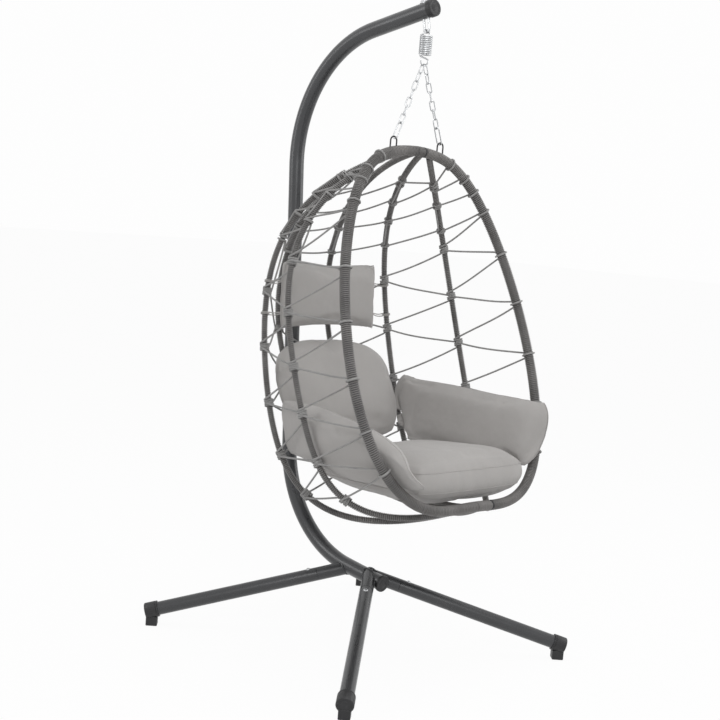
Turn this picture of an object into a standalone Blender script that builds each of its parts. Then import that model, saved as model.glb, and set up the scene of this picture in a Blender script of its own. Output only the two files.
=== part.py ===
"""Hanging egg chair: a tube stand, a spring and two chains, a roped basket and its cushions.

Units are metres and +Z is up. The chair faces -Y and stands on the floor at Z = 0.
The origin is the middle of the footprint. "Left" is -X and "right" is +X.
"""

from math import atan2, cos, pi, radians, sin, sqrt

import bmesh
import bpy
import numpy as np
from mathutils import Matrix, Vector

# ---- fits -------------------------------------------------------------------
FIT_GAP = 0.0003  # clearance left between two parts that touch

# ---- stand ------------------------------------------------------------------
POLE_RADIUS = 0.024
POLE_WALL = 0.002
POLE_TOP_END = Vector((0.0, -0.112, 1.958))
POLE_TOP_CORNER = Vector((0.0, 0.475, 1.834))
POLE_TOP_BEND = 0.40
POLE_LOW_CORNER = Vector((0.0, 0.357, 0.267))
POLE_LOW_BEND = 0.36
POLE_LOW_END = Vector((0.0, -0.099, 0.2155))
POLE_SIDES = 14
CAP_RADIUS = 0.0262
CAP_GRIP = 0.0095
CAP_END = 0.009
PLUG_DEPTH = 0.012
FRONT_HUB = Vector((0.0, -0.045, 0.229))
REAR_HUB = Vector((0.0, 0.055, 0.227))
FRONT_FOOT = Vector((0.475, -0.465, 0.042))
REAR_FOOT = Vector((0.475, 0.465, 0.042))
LEG_RADIUS = 0.021
LEG_WALL = 0.002
STUB_LENGTH = 0.098
SPIGOT_LENGTH = 0.055
WELD_DEPTH = 0.050  # solid root of each stub where it meets the pole
SPIGOT_WALL = 0.0025
FOOT_RADIUS = 0.0255
FOOT_GRIP = 0.036
FOOT_END = 0.006
PAD_LENGTH = 0.036
PAD_WIDTH = 0.034
SCREW_INSET = 0.026
SCREW_RADIUS = 0.003
SCREW_HEAD_RADIUS = 0.0065

# ---- U-bolt and spring ------------------------------------------------------
HANG_Y = -0.095  # the whole basket hangs below this line
BOLT_Y = -0.0836  # where the bolt's middle crosses the pole's axis
BOLT_WIRE = 0.004
BOLT_HALF_WIDTH = 0.0095
BOLT_LOW_Z = 1.8885  # middle of the wire at the bottom of the loop
BOLT_ABOVE = 0.038
NUT_RADIUS = 0.0075
NUT_HEIGHT = 0.0065
SPRING_WIRE = 0.0024
SPRING_RADIUS = 0.0171
SPRING_TURNS = 10
SPRING_TOP_Z = 1.8786
SPRING_LOW_Z = 1.8224
SPRING_POINTS_PER_TURN = 8
HOOK_RADIUS = 0.0153
HOOK_LOW_Z = 1.7905

# ---- chains -----------------------------------------------------------------
LINK_WIRE = 0.002
LINK_WIDTH = 0.014  # across the middle line of the wire
LINKS_PER_CHAIN = 7
LINK_TWIST = radians(540.0 / 7.0)
LONG_LINK_LENGTH = 0.0537
LONG_LINK_WIDTH = 0.018
LONG_LINK_WIRE = 0.0022
CHAIN_START_X = 0.0046
RING_X = 0.10
RING_BAR_Z = 1.574
RING_WIRE = 0.0023
RING_HALF_WIDTH = 0.0125

# ---- basket frame -----------------------------------------------------------
BASKET_CENTRE = Vector((0.0, -0.279, 1.0176))
BASKET_TILT = radians(19.4)
SIDE_SWEEP = radians(3.1)
LONG_AXIS = Vector((0.0, sin(BASKET_TILT), cos(BASKET_TILT)))
FACE_AXIS = Vector((0.0, -cos(BASKET_TILT), sin(BASKET_TILT)))
RIM_RADIUS = 0.0155
RIB_RADIUS = 0.010
RIM_WIDTH_WAVES = (0.3617, -0.0152, -0.0222, 0.0063)
RIM_HEIGHT_WAVES = (0.5979, 0.0203, -0.0643, 0.0001)
RIB_TOP = 0.554
RIB_BOTTOM = -0.513
RIB_MID_X = 0.021
SLEEVE_TOP_X = 0.031
SLEEVE_LOW_X = 0.068
SLEEVE_HALF = 0.003
SLEEVE_PLUG = 0.018
SLEEVE_PLUG_RADIUS = 0.009

# ---- ropes ------------------------------------------------------------------
ROPE_RADIUS = 0.003
ROPE_CLEARANCE = 0.0025
ROPE_ROWS = (0.530, 0.490, 0.450, 0.390, 0.335)

# ---- cushions ---------------------------------------------------------------
PILLOW_CUTS = 5
SEAT_HALF_WIDTH = 0.252
SEAT_SHIFT = 0.012
SEAT_HEIGHT = 0.596
BACK_HALF_WIDTH = 0.250
ARM_CUTS = 8
WALL_ROOM = 0.007
WALL_STEP = 0.010
BASKET_MIDDLE = (0.0, -0.05, 0.85)
BACK_LEAN = radians(29.7)
HEAD_LEAN = radians(6.0)


class Rib:
    """One rib of the basket, from the rim's top round the back to its bottom."""

    def __init__(self, name, angle, end_x, depth_waves, height_waves):
        self.name = name
        self.angle = radians(angle)
        self.end_x = end_x
        self.depth_waves = depth_waves
        self.height_waves = height_waves

    def point(self, turn, side):
        """Middle of the rib at a turn from 0 (top) to pi (bottom), on side -1 or +1."""
        depth = sum(w * sin((n + 1) * turn) for n, w in enumerate(self.depth_waves))
        height = 0.5 * (RIB_TOP + RIB_BOTTOM) + 0.5 * (RIB_TOP - RIB_BOTTOM) * cos(turn)
        height += sum(w * sin((n + 1) * turn) for n, w in enumerate(self.height_waves))
        start = RIB_MID_X + (self.end_x - RIB_MID_X) * (1.0 - sin(turn))
        across = side * (start + depth * cos(self.angle))
        return basket_point(across, height, -depth * sin(self.angle))


class Rim:
    """The hoop round the basket's mouth, with the same way of asking for a point as a rib."""

    def point(self, turn, side):
        """Middle of the hoop at a turn from 0 (top) to pi (bottom), on side -1 or +1."""
        across = sum(w * sin((n + 1) * turn) for n, w in enumerate(RIM_WIDTH_WAVES))
        height = sum(w * cos((n + 1) * turn) for n, w in enumerate(RIM_HEIGHT_WAVES))
        back = -abs(across) * sin(SIDE_SWEEP)
        return basket_point(side * across * cos(SIDE_SWEEP), height, back)


def basket_point(across, height, outward):
    """A point given in the basket's own tilted axes."""
    side = Vector((across, 0.0, 0.0))
    return BASKET_CENTRE + side + height * LONG_AXIS + outward * FACE_AXIS


RIM = Rim()
RIBS = (
    Rib("front", 39.4, 0.050, (0.4785, 0.0051, 0.0379), (-0.1011, -0.0056)),
    Rib("middle", 63.8, 0.030, (0.6113, -0.0206, 0.0390), (-0.0405, 0.0298)),
    Rib("back", 82.0, 0.012, (0.6145, 0.0191, -0.0056), (0.0647, 0.0278)),
)


# ---- general helpers --------------------------------------------------------
def clear_scene():
    """Start from nothing."""
    for item in list(bpy.data.objects):
        bpy.data.objects.remove(item, do_unlink=True)


def make_material(name, colour, roughness, metallic):
    """One plain surface finish."""
    material = bpy.data.materials.new(name)
    material.use_nodes = True
    shader = material.node_tree.nodes["Principled BSDF"]
    shader.inputs["Base Color"].default_value = (*colour, 1.0)
    shader.inputs["Roughness"].default_value = roughness
    shader.inputs["Metallic"].default_value = metallic
    return material


def link_mesh(name, mesh):
    """Put a mesh into the scene as a named object."""
    item = bpy.data.objects.new(name, mesh)
    bpy.context.collection.objects.link(item)
    return item


def evaluated_mesh(item):
    """The object's mesh with its curve bevel or its modifiers worked out."""
    graph = bpy.context.evaluated_depsgraph_get()
    graph.update()
    return bpy.data.meshes.new_from_object(item.evaluated_get(graph))


def settle(item):
    """Replace an object's mesh by its evaluated one and drop the modifiers."""
    mesh = evaluated_mesh(item)
    item.modifiers.clear()
    item.data = mesh
    return item


def weld(item):
    """Merge the loose seams left between a bar and its end caps."""
    body = bmesh.new()
    body.from_mesh(item.data)
    bmesh.ops.remove_doubles(body, verts=body.verts, dist=0.000002)
    body.to_mesh(item.data)
    body.free()
    return item


def paint(item, material):
    """Give an object its one material."""
    item.data.materials.clear()
    item.data.materials.append(material)
    return item


def tube(name, points, radius, sides=8, closed=False, caps=True):
    """A round bar along a path, made by bevelling a curve."""
    curve = bpy.data.curves.new(name, "CURVE")
    curve.dimensions = "3D"
    curve.bevel_depth = radius
    curve.bevel_resolution = sides // 2 - 2
    curve.use_fill_caps = caps and not closed
    curve.twist_mode = "MINIMUM"
    spline = curve.splines.new("POLY")
    spline.points.add(len(points) - 1)
    for spot, point in zip(spline.points, points):
        spot.co = (*point, 1.0)
    spline.use_cyclic_u = closed
    path = link_mesh(name, curve)
    mesh = evaluated_mesh(path)
    bpy.data.objects.remove(path, do_unlink=True)
    return weld(link_mesh(name, mesh))


def pipe(name, points, radius, wall, sides):
    """A hollow tube along a path, open at both ends."""
    item = tube(name, points, radius, sides, caps=False)
    shell = item.modifiers.new("wall", "SOLIDIFY")
    shell.thickness = wall
    shell.offset = -1.0
    shell.use_even_offset = True
    settle(item)
    return item


def rod(name, start, end, radius, sides=16):
    """A straight solid cylinder between two points."""
    mesh = bpy.data.meshes.new(name)
    body = bmesh.new()
    span = end - start
    turn = span.to_track_quat("Z", "Y").to_matrix().to_4x4()
    place = Matrix.Translation((start + end) * 0.5) @ turn
    bmesh.ops.create_cone(
        body, cap_ends=True, segments=sides, radius1=radius, radius2=radius,
        depth=span.length, matrix=place,
    )
    body.to_mesh(mesh)
    body.free()
    return link_mesh(name, mesh)


def bore_radius(radius, sides=16):
    """Radius of a many-sided hole whose flats just clear a bar of this radius."""
    return (radius + FIT_GAP) / cos(pi / sides)


def block(name, centre, size, turn=0.0):
    """A box turned about the vertical."""
    mesh = bpy.data.meshes.new(name)
    body = bmesh.new()
    place = Matrix.Translation(centre) @ Matrix.Rotation(turn, 4, "Z") @ Matrix.Diagonal((*size, 1.0))
    bmesh.ops.create_cube(body, size=1.0, matrix=place)
    body.to_mesh(mesh)
    body.free()
    return link_mesh(name, mesh)


def combine(item, tool, operation):
    """One exact boolean; the tool is used up."""
    tool.hide_render = True
    tool.display_type = "WIRE"
    step = item.modifiers.new(operation.lower(), "BOOLEAN")
    step.operation = operation
    step.solver = "EXACT"
    step.object = tool
    settle(item)
    bpy.data.objects.remove(tool, do_unlink=True)
    return item


def cut(item, tool):
    """Take the tool's shape away from the item."""
    return combine(item, tool, "DIFFERENCE")


def join(item, tool):
    """Add the tool's shape to the item."""
    return combine(item, tool, "UNION")


def filleted_path(start, corners, end, step):
    """A path of straight runs and round bends; each corner is (point, bend radius)."""
    points = [start]
    knots = [start] + [corner for corner, _ in corners] + [end]
    for index, (corner, bend) in enumerate(corners):
        back = (knots[index] - corner).normalized()
        ahead = (knots[index + 2] - corner).normalized()
        half = 0.5 * back.angle(ahead)
        centre = corner + (back + ahead).normalized() * (bend / sin(half))
        first = corner + back * (bend * cos(half) / sin(half)) - centre
        last = corner + ahead * (bend * cos(half) / sin(half)) - centre
        sweep = first.angle(last)
        count = max(2, round(sweep * bend / step))
        for number in range(count + 1):
            share = number / count
            arm = (sin((1.0 - share) * sweep) * first + sin(share * sweep) * last) / sin(sweep)
            points.append(centre + arm)
    points.append(end)
    return points


# ---- stand ------------------------------------------------------------------
def pole_slope():
    """Unit direction of the pole's top run, pointing at its free end."""
    return (POLE_TOP_END - POLE_TOP_CORNER).normalized()


def pole_low_slope():
    """Unit direction of the pole's bottom run, pointing at its free end."""
    return (POLE_LOW_END - POLE_LOW_CORNER).normalized()


def mirrored(point, side):
    """The point on the left (-1) or right (+1)."""
    return Vector((side * point.x, point.y, point.z))


def leg_runs():
    """Every leg as (name, hub, foot)."""
    runs = []
    for place, hub, foot in (("front", FRONT_HUB, FRONT_FOOT), ("rear", REAR_HUB, REAR_FOOT)):
        for word, side in (("left", -1), ("right", 1)):
            runs.append((f"{place}_{word}", hub, mirrored(foot, side)))
    return runs


def screw_line(hub, foot):
    """Where a leg's screw sits on the leg's axis, and the square-up direction there."""
    along = (foot - hub).normalized()
    upward = (Vector((0.0, 0.0, 1.0)) - along * along.z).normalized()
    return hub + along * (STUB_LENGTH + SCREW_INSET), upward


def bolt_axis():
    """The U-bolt's middle on the pole, and its direction down and square to the pole."""
    slope = pole_slope()
    share = (BOLT_Y - POLE_TOP_END.y) / slope.y
    down = Vector((0.0, slope.z, -slope.y))
    if down.z > 0.0:
        down = -down
    return POLE_TOP_END + slope * share, down


def build_pole():
    """The bent pole with four welded leg stubs, their spigots and the bolt holes."""
    corners = ((POLE_TOP_CORNER, POLE_TOP_BEND), (POLE_LOW_CORNER, POLE_LOW_BEND))
    path = filleted_path(POLE_TOP_END, corners, POLE_LOW_END, 0.062)
    pole = tube("pole", path, POLE_RADIUS, POLE_SIDES)
    for name, hub, foot in leg_runs():
        along = (foot - hub).normalized()
        join(pole, rod("stub", hub, hub + along * (STUB_LENGTH - FIT_GAP), LEG_RADIUS))
    spigot_radius = (LEG_RADIUS - LEG_WALL) * cos(pi / 16.0) - FIT_GAP
    for name, hub, foot in leg_runs():
        along = (foot - hub).normalized()
        reach = hub + along * (STUB_LENGTH + SPIGOT_LENGTH)
        join(pole, rod("spigot", hub + along * 0.07, reach, spigot_radius))
    for name, hub, foot in leg_runs():
        along = (foot - hub).normalized()
        reach = hub + along * (STUB_LENGTH + SPIGOT_LENGTH + 0.01)
        cut(pole, rod("bore", hub + along * WELD_DEPTH, reach, spigot_radius - SPIGOT_WALL))
    for name, hub, foot in leg_runs():
        spot, upward = screw_line(hub, foot)
        cut(pole, rod("hole", spot, spot + upward * 0.03, SCREW_RADIUS + FIT_GAP))
    middle, down = bolt_axis()
    for side in (-1, 1):
        leg = middle + pole_slope() * (side * BOLT_HALF_WIDTH)
        cut(pole, rod("hole", leg - down * 0.03, leg + down * 0.03, BOLT_WIRE + FIT_GAP))
    ends = [path[0] + pole_slope() * 0.01] + path[1:-1] + [path[-1] + pole_low_slope() * 0.01]
    cut(pole, tube("core", ends, POLE_RADIUS - POLE_WALL, POLE_SIDES))
    return [pole]


def build_cap(name, end, outward):
    """A cup pressed over an open end of the pole."""
    cap = rod(name, end - outward * CAP_GRIP, end + outward * CAP_END, CAP_RADIUS)
    hollow = rod("hollow", end - outward * 0.05, end + outward * FIT_GAP, bore_radius(POLE_RADIUS))
    cut(cap, hollow)
    return cap


def build_plug(name, end, outward):
    """A flanged plug pushed into an open end of the pole."""
    cap = rod(name, end + outward * FIT_GAP, end + outward * CAP_END, CAP_RADIUS)
    inside = (POLE_RADIUS - POLE_WALL) * cos(pi / POLE_SIDES) - FIT_GAP
    join(cap, rod("plug", end - outward * PLUG_DEPTH, end + outward * 0.002, inside))
    return cap


def build_caps():
    """A cup on the pole's top end and a plug in its bottom end."""
    top = build_cap("pole_cap_top", POLE_TOP_END, pole_slope())
    low = build_plug("pole_cap_bottom", POLE_LOW_END, pole_low_slope())
    return [top, low]


def leg_end(hub, foot):
    """Where the leg's tube stops inside its foot."""
    return foot - (foot - hub).normalized() * FOOT_END


def build_legs():
    """Four straight legs that slide over the stubs' spigots."""
    legs = []
    for name, hub, foot in leg_runs():
        along = (foot - hub).normalized()
        start = hub + along * STUB_LENGTH
        leg = pipe(f"leg_{name}", [start, leg_end(hub, foot)], LEG_RADIUS, LEG_WALL, 16)
        spot, upward = screw_line(hub, foot)
        cut(leg, rod("hole", spot, spot + upward * 0.03, SCREW_RADIUS + FIT_GAP))
        legs.append(leg)
    return legs


def build_feet():
    """Cups over the legs' ends, each with a block that stands flat on the floor."""
    feet = []
    for name, hub, foot in leg_runs():
        along = (foot - hub).normalized()
        heading = atan2(along.y, along.x)
        end = leg_end(hub, foot)
        cup = rod(f"foot_{name}", end - along * FOOT_GRIP, foot, FOOT_RADIUS)
        flat = Vector((cos(heading), sin(heading), 0.0))
        centre = foot - flat * (0.5 * PAD_LENGTH + 0.004)
        top = 0.03
        pad = block("pad", Vector((centre.x, centre.y, 0.5 * top)), (PAD_LENGTH, PAD_WIDTH, top), heading)
        join(cup, pad)
        hollow = rod("hollow", end - along * 0.09, end + along * FIT_GAP, bore_radius(LEG_RADIUS))
        cut(cup, hollow)
        feet.append(cup)
    return feet


def build_leg_screws():
    """A round-headed screw through each leg into its spigot."""
    screws = []
    for name, hub, foot in leg_runs():
        spot, upward = screw_line(hub, foot)
        surface = LEG_RADIUS + 2.0 * FIT_GAP
        head = rod(
            f"leg_screw_{name}", spot + upward * surface,
            spot + upward * (surface + 0.003), SCREW_HEAD_RADIUS, 12,
        )
        shank = rod("shank", spot + upward * 0.012, spot + upward * (surface + 0.001), SCREW_RADIUS, 12)
        join(head, shank)
        screws.append(head)
    return screws


def build_bolt():
    """The U-bolt through the pole's top end, with a nut on each leg."""
    middle, down = bolt_axis()
    slope = pole_slope()
    bend = Vector((0.0, HANG_Y, BOLT_LOW_Z + BOLT_HALF_WIDTH))
    drop = (bend - middle).dot(down)
    centre = middle + down * drop
    points = [middle + slope * BOLT_HALF_WIDTH - down * BOLT_ABOVE]
    for number in range(9):
        angle = pi * number / 8.0
        arm = slope * cos(angle) + down * sin(angle)
        points.append(centre + arm * BOLT_HALF_WIDTH)
    points.append(middle - slope * BOLT_HALF_WIDTH - down * BOLT_ABOVE)
    parts = [tube("u_bolt", points, BOLT_WIRE, 12)]
    for word, side in (("front", 1), ("rear", -1)):
        foot = middle + slope * (side * BOLT_HALF_WIDTH) - down * (POLE_RADIUS + FIT_GAP)
        nut = rod(f"u_bolt_nut_{word}", foot, foot - down * NUT_HEIGHT, NUT_RADIUS, 6)
        cut(nut, rod("thread", foot + down * 0.01, foot - down * 0.02, BOLT_WIRE + FIT_GAP, 12))
        parts.append(nut)
    return parts


# ---- spring and chains ------------------------------------------------------
def hang_point(across, forward, height):
    """A point given from the hang line."""
    return Vector((across, HANG_Y + forward, height))


def coil_angle(share):
    """Angle of the spring's wire, from its top end (share 0) to its bottom end (share 1)."""
    return radians(80.0) - 2.0 * pi * SPRING_TURNS * share - radians(200.0) * share


def spring_points():
    """Middle line of the coil, top to bottom."""
    count = SPRING_TURNS * SPRING_POINTS_PER_TURN + 5
    points = []
    for number in range(count + 1):
        share = number / count
        angle = coil_angle(share)
        height = SPRING_TOP_Z + (SPRING_LOW_Z - SPRING_TOP_Z) * share
        points.append(hang_point(SPRING_RADIUS * cos(angle), SPRING_RADIUS * sin(angle), height))
    return points


def report_self_gap(label, points, wire):
    """Print the least gap between turns of a wire, measured on its points."""
    spots = np.array([tuple(point) for point in points])
    gaps = np.linalg.norm(spots[:, None, :] - spots[None, :, :], axis=2)
    index = np.arange(len(spots))
    near = np.abs(index[:, None] - index[None, :]) < SPRING_POINTS_PER_TURN // 2
    least = gaps[~near].min() - 2.0 * wire
    print(f"{label}: least gap to itself {least * 1000.0:.2f} mm")


def build_spring():
    """The coil and the hooks at its two ends, all wound from one size of wire."""
    coil = spring_points()
    report_self_gap("spring", coil, SPRING_WIRE)
    spring = tube("spring", coil, SPRING_WIRE, 6)
    start = coil_angle(0.0) + radians(7.0)
    rise = BOLT_LOW_Z + BOLT_WIRE + 2.0 * FIT_GAP + SPRING_WIRE
    crown = 0.0125
    top = []
    for turn, reach, lift in ((0, 1.0, 0.0), (25, 1.0, 0.0003), (50, 0.97, 0.0008)):
        angle = start + radians(turn)
        radius = SPRING_RADIUS * reach
        top.append(hang_point(radius * cos(angle), radius * sin(angle), SPRING_TOP_Z + lift))
    top.append(hang_point(-0.0128, 0.0075, SPRING_TOP_Z + 0.0014))
    top.append(hang_point(-0.0132, 0.0028, SPRING_TOP_Z + 0.0025))
    for number in range(9):
        angle = pi * (1.0 - number / 8.0)
        top.append(hang_point(crown * cos(angle), 0.0, rise - crown + crown * sin(angle)))
    top.append(hang_point(crown, 0.0, rise - crown - 0.003))
    top_hook = tube("spring_top_hook", top, SPRING_WIRE, 6)
    finish = coil_angle(1.0) - radians(7.0)
    low = []
    for turn, reach, drop in ((0, 1.0, 0.0), (25, 1.0, 0.0004), (50, 1.0, 0.0018), (72, 0.98, 0.0050)):
        angle = finish - radians(turn)
        radius = SPRING_RADIUS * reach
        low.append(hang_point(radius * cos(angle), radius * sin(angle), SPRING_LOW_Z - drop))
    middle = HOOK_LOW_Z + HOOK_RADIUS
    low.append(hang_point(HOOK_RADIUS + 0.001, 0.001, middle + 0.006))
    for number in range(13):
        angle = radians(5.0 - 200.0 * number / 12.0)
        low.append(hang_point(HOOK_RADIUS * cos(angle), 0.0, middle + HOOK_RADIUS * sin(angle)))
    low_hook = tube("spring_bottom_hook", low, SPRING_WIRE, 6)
    return [top_hook, spring, low_hook]


def link_loop(top, along, across, length, width):
    """Middle line of one chain link hanging from its top point."""
    half = 0.5 * width
    radius = half / cos(pi / 8.0)
    points = []
    for end, sign in ((half, 1.0), (length - half, -1.0)):
        for number in range(4):
            angle = pi * (number + 0.5) / 4.0
            drop = end - sign * radius * sin(angle)
            points.append(top + along * drop + across * (sign * radius * cos(angle)))
    return points


def build_chain(word, side):
    """One chain: short links, each turned from the last, and a long end link."""
    hook = hang_point(side * CHAIN_START_X, 0.0, HOOK_LOW_Z + 0.0006)
    ring = hang_point(side * RING_X, 0.0, RING_BAR_Z - RING_HALF_WIDTH)
    along = (ring - hook).normalized()
    wide = Vector((0.0, 1.0, 0.0))
    first = hook - along * (SPRING_WIRE + LINK_WIRE + FIT_GAP)
    last = ring - along * (RING_HALF_WIDTH - RING_WIRE - LONG_LINK_WIRE - 2.0 * FIT_GAP)
    long_top = last - along * LONG_LINK_LENGTH
    pitch = (long_top - first).length / LINKS_PER_CHAIN
    hold = 2.0 * LINK_WIRE + FIT_GAP
    parts = []
    for number in range(LINKS_PER_CHAIN):
        across = Matrix.Rotation(LINK_TWIST * number, 3, along) @ wide
        loop = link_loop(first + along * (pitch * number), along, across, pitch + hold, LINK_WIDTH)
        parts.append(tube(f"chain_{word}_{number + 1}", loop, LINK_WIRE, 6, closed=True))
    loop = link_loop(long_top, along, wide, LONG_LINK_LENGTH, LONG_LINK_WIDTH)
    parts.append(tube(f"chain_{word}_long", loop, LONG_LINK_WIRE, 6, closed=True))
    return parts


# ---- basket -----------------------------------------------------------------
def rim_turn(across):
    """Turn on the hoop's upper half where it is this far from the middle."""
    turns = np.linspace(0.0, 1.5, 400)
    widths = [RIM.point(turn, 1).x for turn in turns]
    return float(np.interp(across, widths, turns))


def rim_low_turn(across):
    """Turn on the hoop's lower half where it is this far from the middle."""
    turns = np.linspace(pi, 2.0, 400)
    widths = [RIM.point(turn, 1).x for turn in turns]
    return float(np.interp(across, widths, turns))


def rim_path(first, last, count):
    """Points on the hoop between two turns, which may run past pi onto the left side."""
    points = []
    for number in range(count + 1):
        turn = first + (last - first) * number / count
        if turn <= pi:
            points.append(RIM.point(turn, 1))
        else:
            points.append(RIM.point(2.0 * pi - turn, -1))
    return points


def build_ring(side):
    """The wire loop welded on top of the hoop, which a chain's long link holds."""
    centre = hang_point(side * RING_X, 0.0, RING_BAR_Z - RING_HALF_WIDTH)
    base = RIM.point(rim_turn(RING_X), 1).z
    points = [Vector((centre.x - RING_HALF_WIDTH, HANG_Y, base))]
    for number in range(9):
        angle = pi * (1.0 - number / 8.0)
        arm = Vector((cos(angle), 0.0, sin(angle)))
        points.append(centre + arm * RING_HALF_WIDTH)
    points.append(Vector((centre.x + RING_HALF_WIDTH, HANG_Y, base)))
    return tube("ring", points, RING_WIRE, 8)


def seam_frames():
    """The two seams of the hoop as (middle, direction along the hoop, turn)."""
    frames = []
    for turn in (rim_turn(SLEEVE_TOP_X), rim_low_turn(SLEEVE_LOW_X)):
        ahead = (RIM.point(turn + 0.01, 1) - RIM.point(turn - 0.01, 1)).normalized()
        frames.append((RIM.point(turn, 1), ahead, turn))
    return frames


def half_rim_paths():
    """Middle lines of the hoop's two halves, straight for a short way at each seam."""
    (top, top_way, top_turn), (low, low_way, low_turn) = seam_frames()
    margin = SLEEVE_HALF + FIT_GAP
    straight = SLEEVE_PLUG + 0.002
    right_path = [top + top_way * margin, top + top_way * straight]
    right_path += rim_path(top_turn, low_turn, 26)[2:-2]
    right_path += [low - low_way * straight, low - low_way * margin]
    left_path = [low + low_way * margin, low + low_way * straight]
    left_path += rim_path(low_turn, 2.0 * pi, 27)[2:]
    left_path += [top - top_way * straight, top - top_way * margin]
    return right_path, left_path


def build_rim():
    """The hoop in two halves with blind bores, and the two sleeves that plug them together."""
    (top, top_way, _), (low, low_way, _) = seam_frames()
    right_path, left_path = half_rim_paths()
    rim_right = tube("rim_right", right_path, RIM_RADIUS, 12)
    rim_left = tube("rim_left", left_path, RIM_RADIUS, 12)
    join(rim_right, build_ring(1))
    join(rim_left, build_ring(-1))
    reach = SLEEVE_PLUG + 2.0 * FIT_GAP
    bore = SLEEVE_PLUG_RADIUS + FIT_GAP
    sleeves = []
    for word, spot, way in (("top", top, top_way), ("bottom", low, low_way)):
        cut(rim_right, rod("bore", spot - way * reach, spot + way * reach, bore, 12))
        cut(rim_left, rod("bore", spot - way * reach, spot + way * reach, bore, 12))
        band = rod(
            f"rim_sleeve_{word}", spot - way * SLEEVE_HALF, spot + way * SLEEVE_HALF, RIM_RADIUS, 16,
        )
        plug = rod("plug", spot - way * SLEEVE_PLUG, spot + way * SLEEVE_PLUG, SLEEVE_PLUG_RADIUS, 12)
        sleeves.append(join(band, plug))
    return [rim_left, rim_right] + sleeves


def build_ribs():
    """Three ribs on each side, coped to the hoop at both ends."""
    parts = []
    for word, side in (("left", -1), ("right", 1)):
        for rib in RIBS:
            path = [rib.point(pi * number / 22.0, side) for number in range(23)]
            bar = tube(f"rib_{rib.name}_{word}", path, RIB_RADIUS, 8)
            for half in half_rim_paths():
                cut(bar, tube("hoop", half, RIM_RADIUS + FIT_GAP, 12))
            for spot, way, _ in seam_frames():
                reach = way * (SLEEVE_HALF + 0.004)
                cut(bar, rod("seam", spot - reach, spot + reach, RIM_RADIUS + FIT_GAP))
            parts.append(bar)
    return parts


# ---- ropes ------------------------------------------------------------------
def height_of(point):
    """Height of a point along the basket's long axis."""
    return (point - BASKET_CENTRE).dot(LONG_AXIS)


def support_point(support, side, height):
    """The point of a rib or the hoop at a height along the basket's long axis."""
    turns = np.linspace(0.35 if support is RIM else 0.3, 2.9, 300)
    heights = [-height_of(support.point(turn, side)) for turn in turns]
    turn = float(np.interp(-height, heights, turns))
    return support.point(turn, side)


def knot_heights(support, side):
    """Heights of the zigzag's knots on one support; the left side sits lower."""
    start, pitch = {RIM: (0.256, 0.160), RIBS[0]: (0.178, 0.150)}.get(support, (0.281, 0.162))
    if support is RIBS[2]:
        start, pitch = 0.200, 0.158
    if side < 0:
        start -= 0.055
    return [start - pitch * number for number in range(5)]


def rope_path(first, second):
    """Rows across a panel and then a zigzag down it, between two (support, side) pairs."""
    def off(own, other, height, other_height):
        """A turning point just clear of a support, on the way to the other one."""
        here = support_point(own[0], own[1], height)
        there = support_point(other[0], other[1], other_height)
        radius = RIM_RADIUS if own[0] is RIM else RIB_RADIUS
        along = (support_point(own[0], own[1], height - 0.01) - here).normalized()
        across = there - here
        across = (across - along * across.dot(along)).normalized()
        return here + across * (radius + ROPE_RADIUS + ROPE_CLEARANCE)

    points = []
    rows = ROPE_ROWS[1:] if first[0] is RIM else ROPE_ROWS
    for number, height in enumerate(rows):
        ends = [off(first, second, height, height), off(second, first, height, height)]
        if number % 2:
            ends.reverse()
        middle = (ends[0] + ends[1]) * 0.5 - LONG_AXIS * 0.006
        points += [ends[0], middle, ends[1]]
    upper, lower = knot_heights(*second), knot_heights(*first)
    if upper[0] < lower[0]:
        upper = [height + 0.16 for height in upper]
    ladder = []
    for high, low in zip(upper, lower):
        if high < ROPE_ROWS[-1] - 0.03:
            ladder.append((second, first, high, low))
        ladder.append((first, second, low, high))
    for own, other, height, other_height in ladder:
        points.append(off(own, other, height, other_height))
    return points


def build_ropes():
    """One unbroken rope in each of the seven panels between hoop and ribs."""
    parts = []
    for word, side in (("left", -1), ("right", 1)):
        stations = [RIM, *RIBS]
        for number, name in enumerate(("mouth", "side", "rear")):
            first = (stations[number], side)
            second = (stations[number + 1], side)
            path = rope_path(first, second)
            parts.append(tube(f"rope_{name}_{word}", path, ROPE_RADIUS, 6))
    path = rope_path((RIBS[2], -1), (RIBS[2], 1))
    parts.append(tube("rope_back", path, ROPE_RADIUS, 6))
    return parts


# ---- cushions ---------------------------------------------------------------
def basket_wall():
    """Points on the basket's wall, their directions inwards, and the room kept from each."""
    spots, normals, rooms = [], [], []
    turns = np.linspace(0.15, 3.0, 76)
    lines = [((RIM, side), (RIBS[0], side)) for side in (-1, 1)]
    lines += [((first, side), (second, side)) for side in (-1, 1) for first, second in zip(RIBS, RIBS[1:])]
    lines.append(((RIBS[2], -1), (RIBS[2], 1)))
    for (first, side_a), (second, side_b) in lines:
        near = np.array([first.point(turn, side_a) for turn in turns])
        far = np.array([second.point(turn, side_b) for turn in turns])
        for share in np.linspace(0.0, 1.0, 13):
            row = near + (far - near) * share
            normal = np.cross(np.gradient(row, axis=0), far - near)
            normal /= np.linalg.norm(normal, axis=1, keepdims=True)
            inwards = np.array(BASKET_MIDDLE) - row
            normal *= np.sign(np.sum(normal * inwards, axis=1))[:, None]
            spots.append(row)
            normals.append(normal)
            rim_part = RIM_RADIUS - RIB_RADIUS if first is RIM else 0.0
            rooms.append(np.full(len(turns), RIB_RADIUS + WALL_ROOM + rim_part * (1.0 - share)))
    return np.vstack(spots), np.vstack(normals), np.concatenate(rooms)


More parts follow.
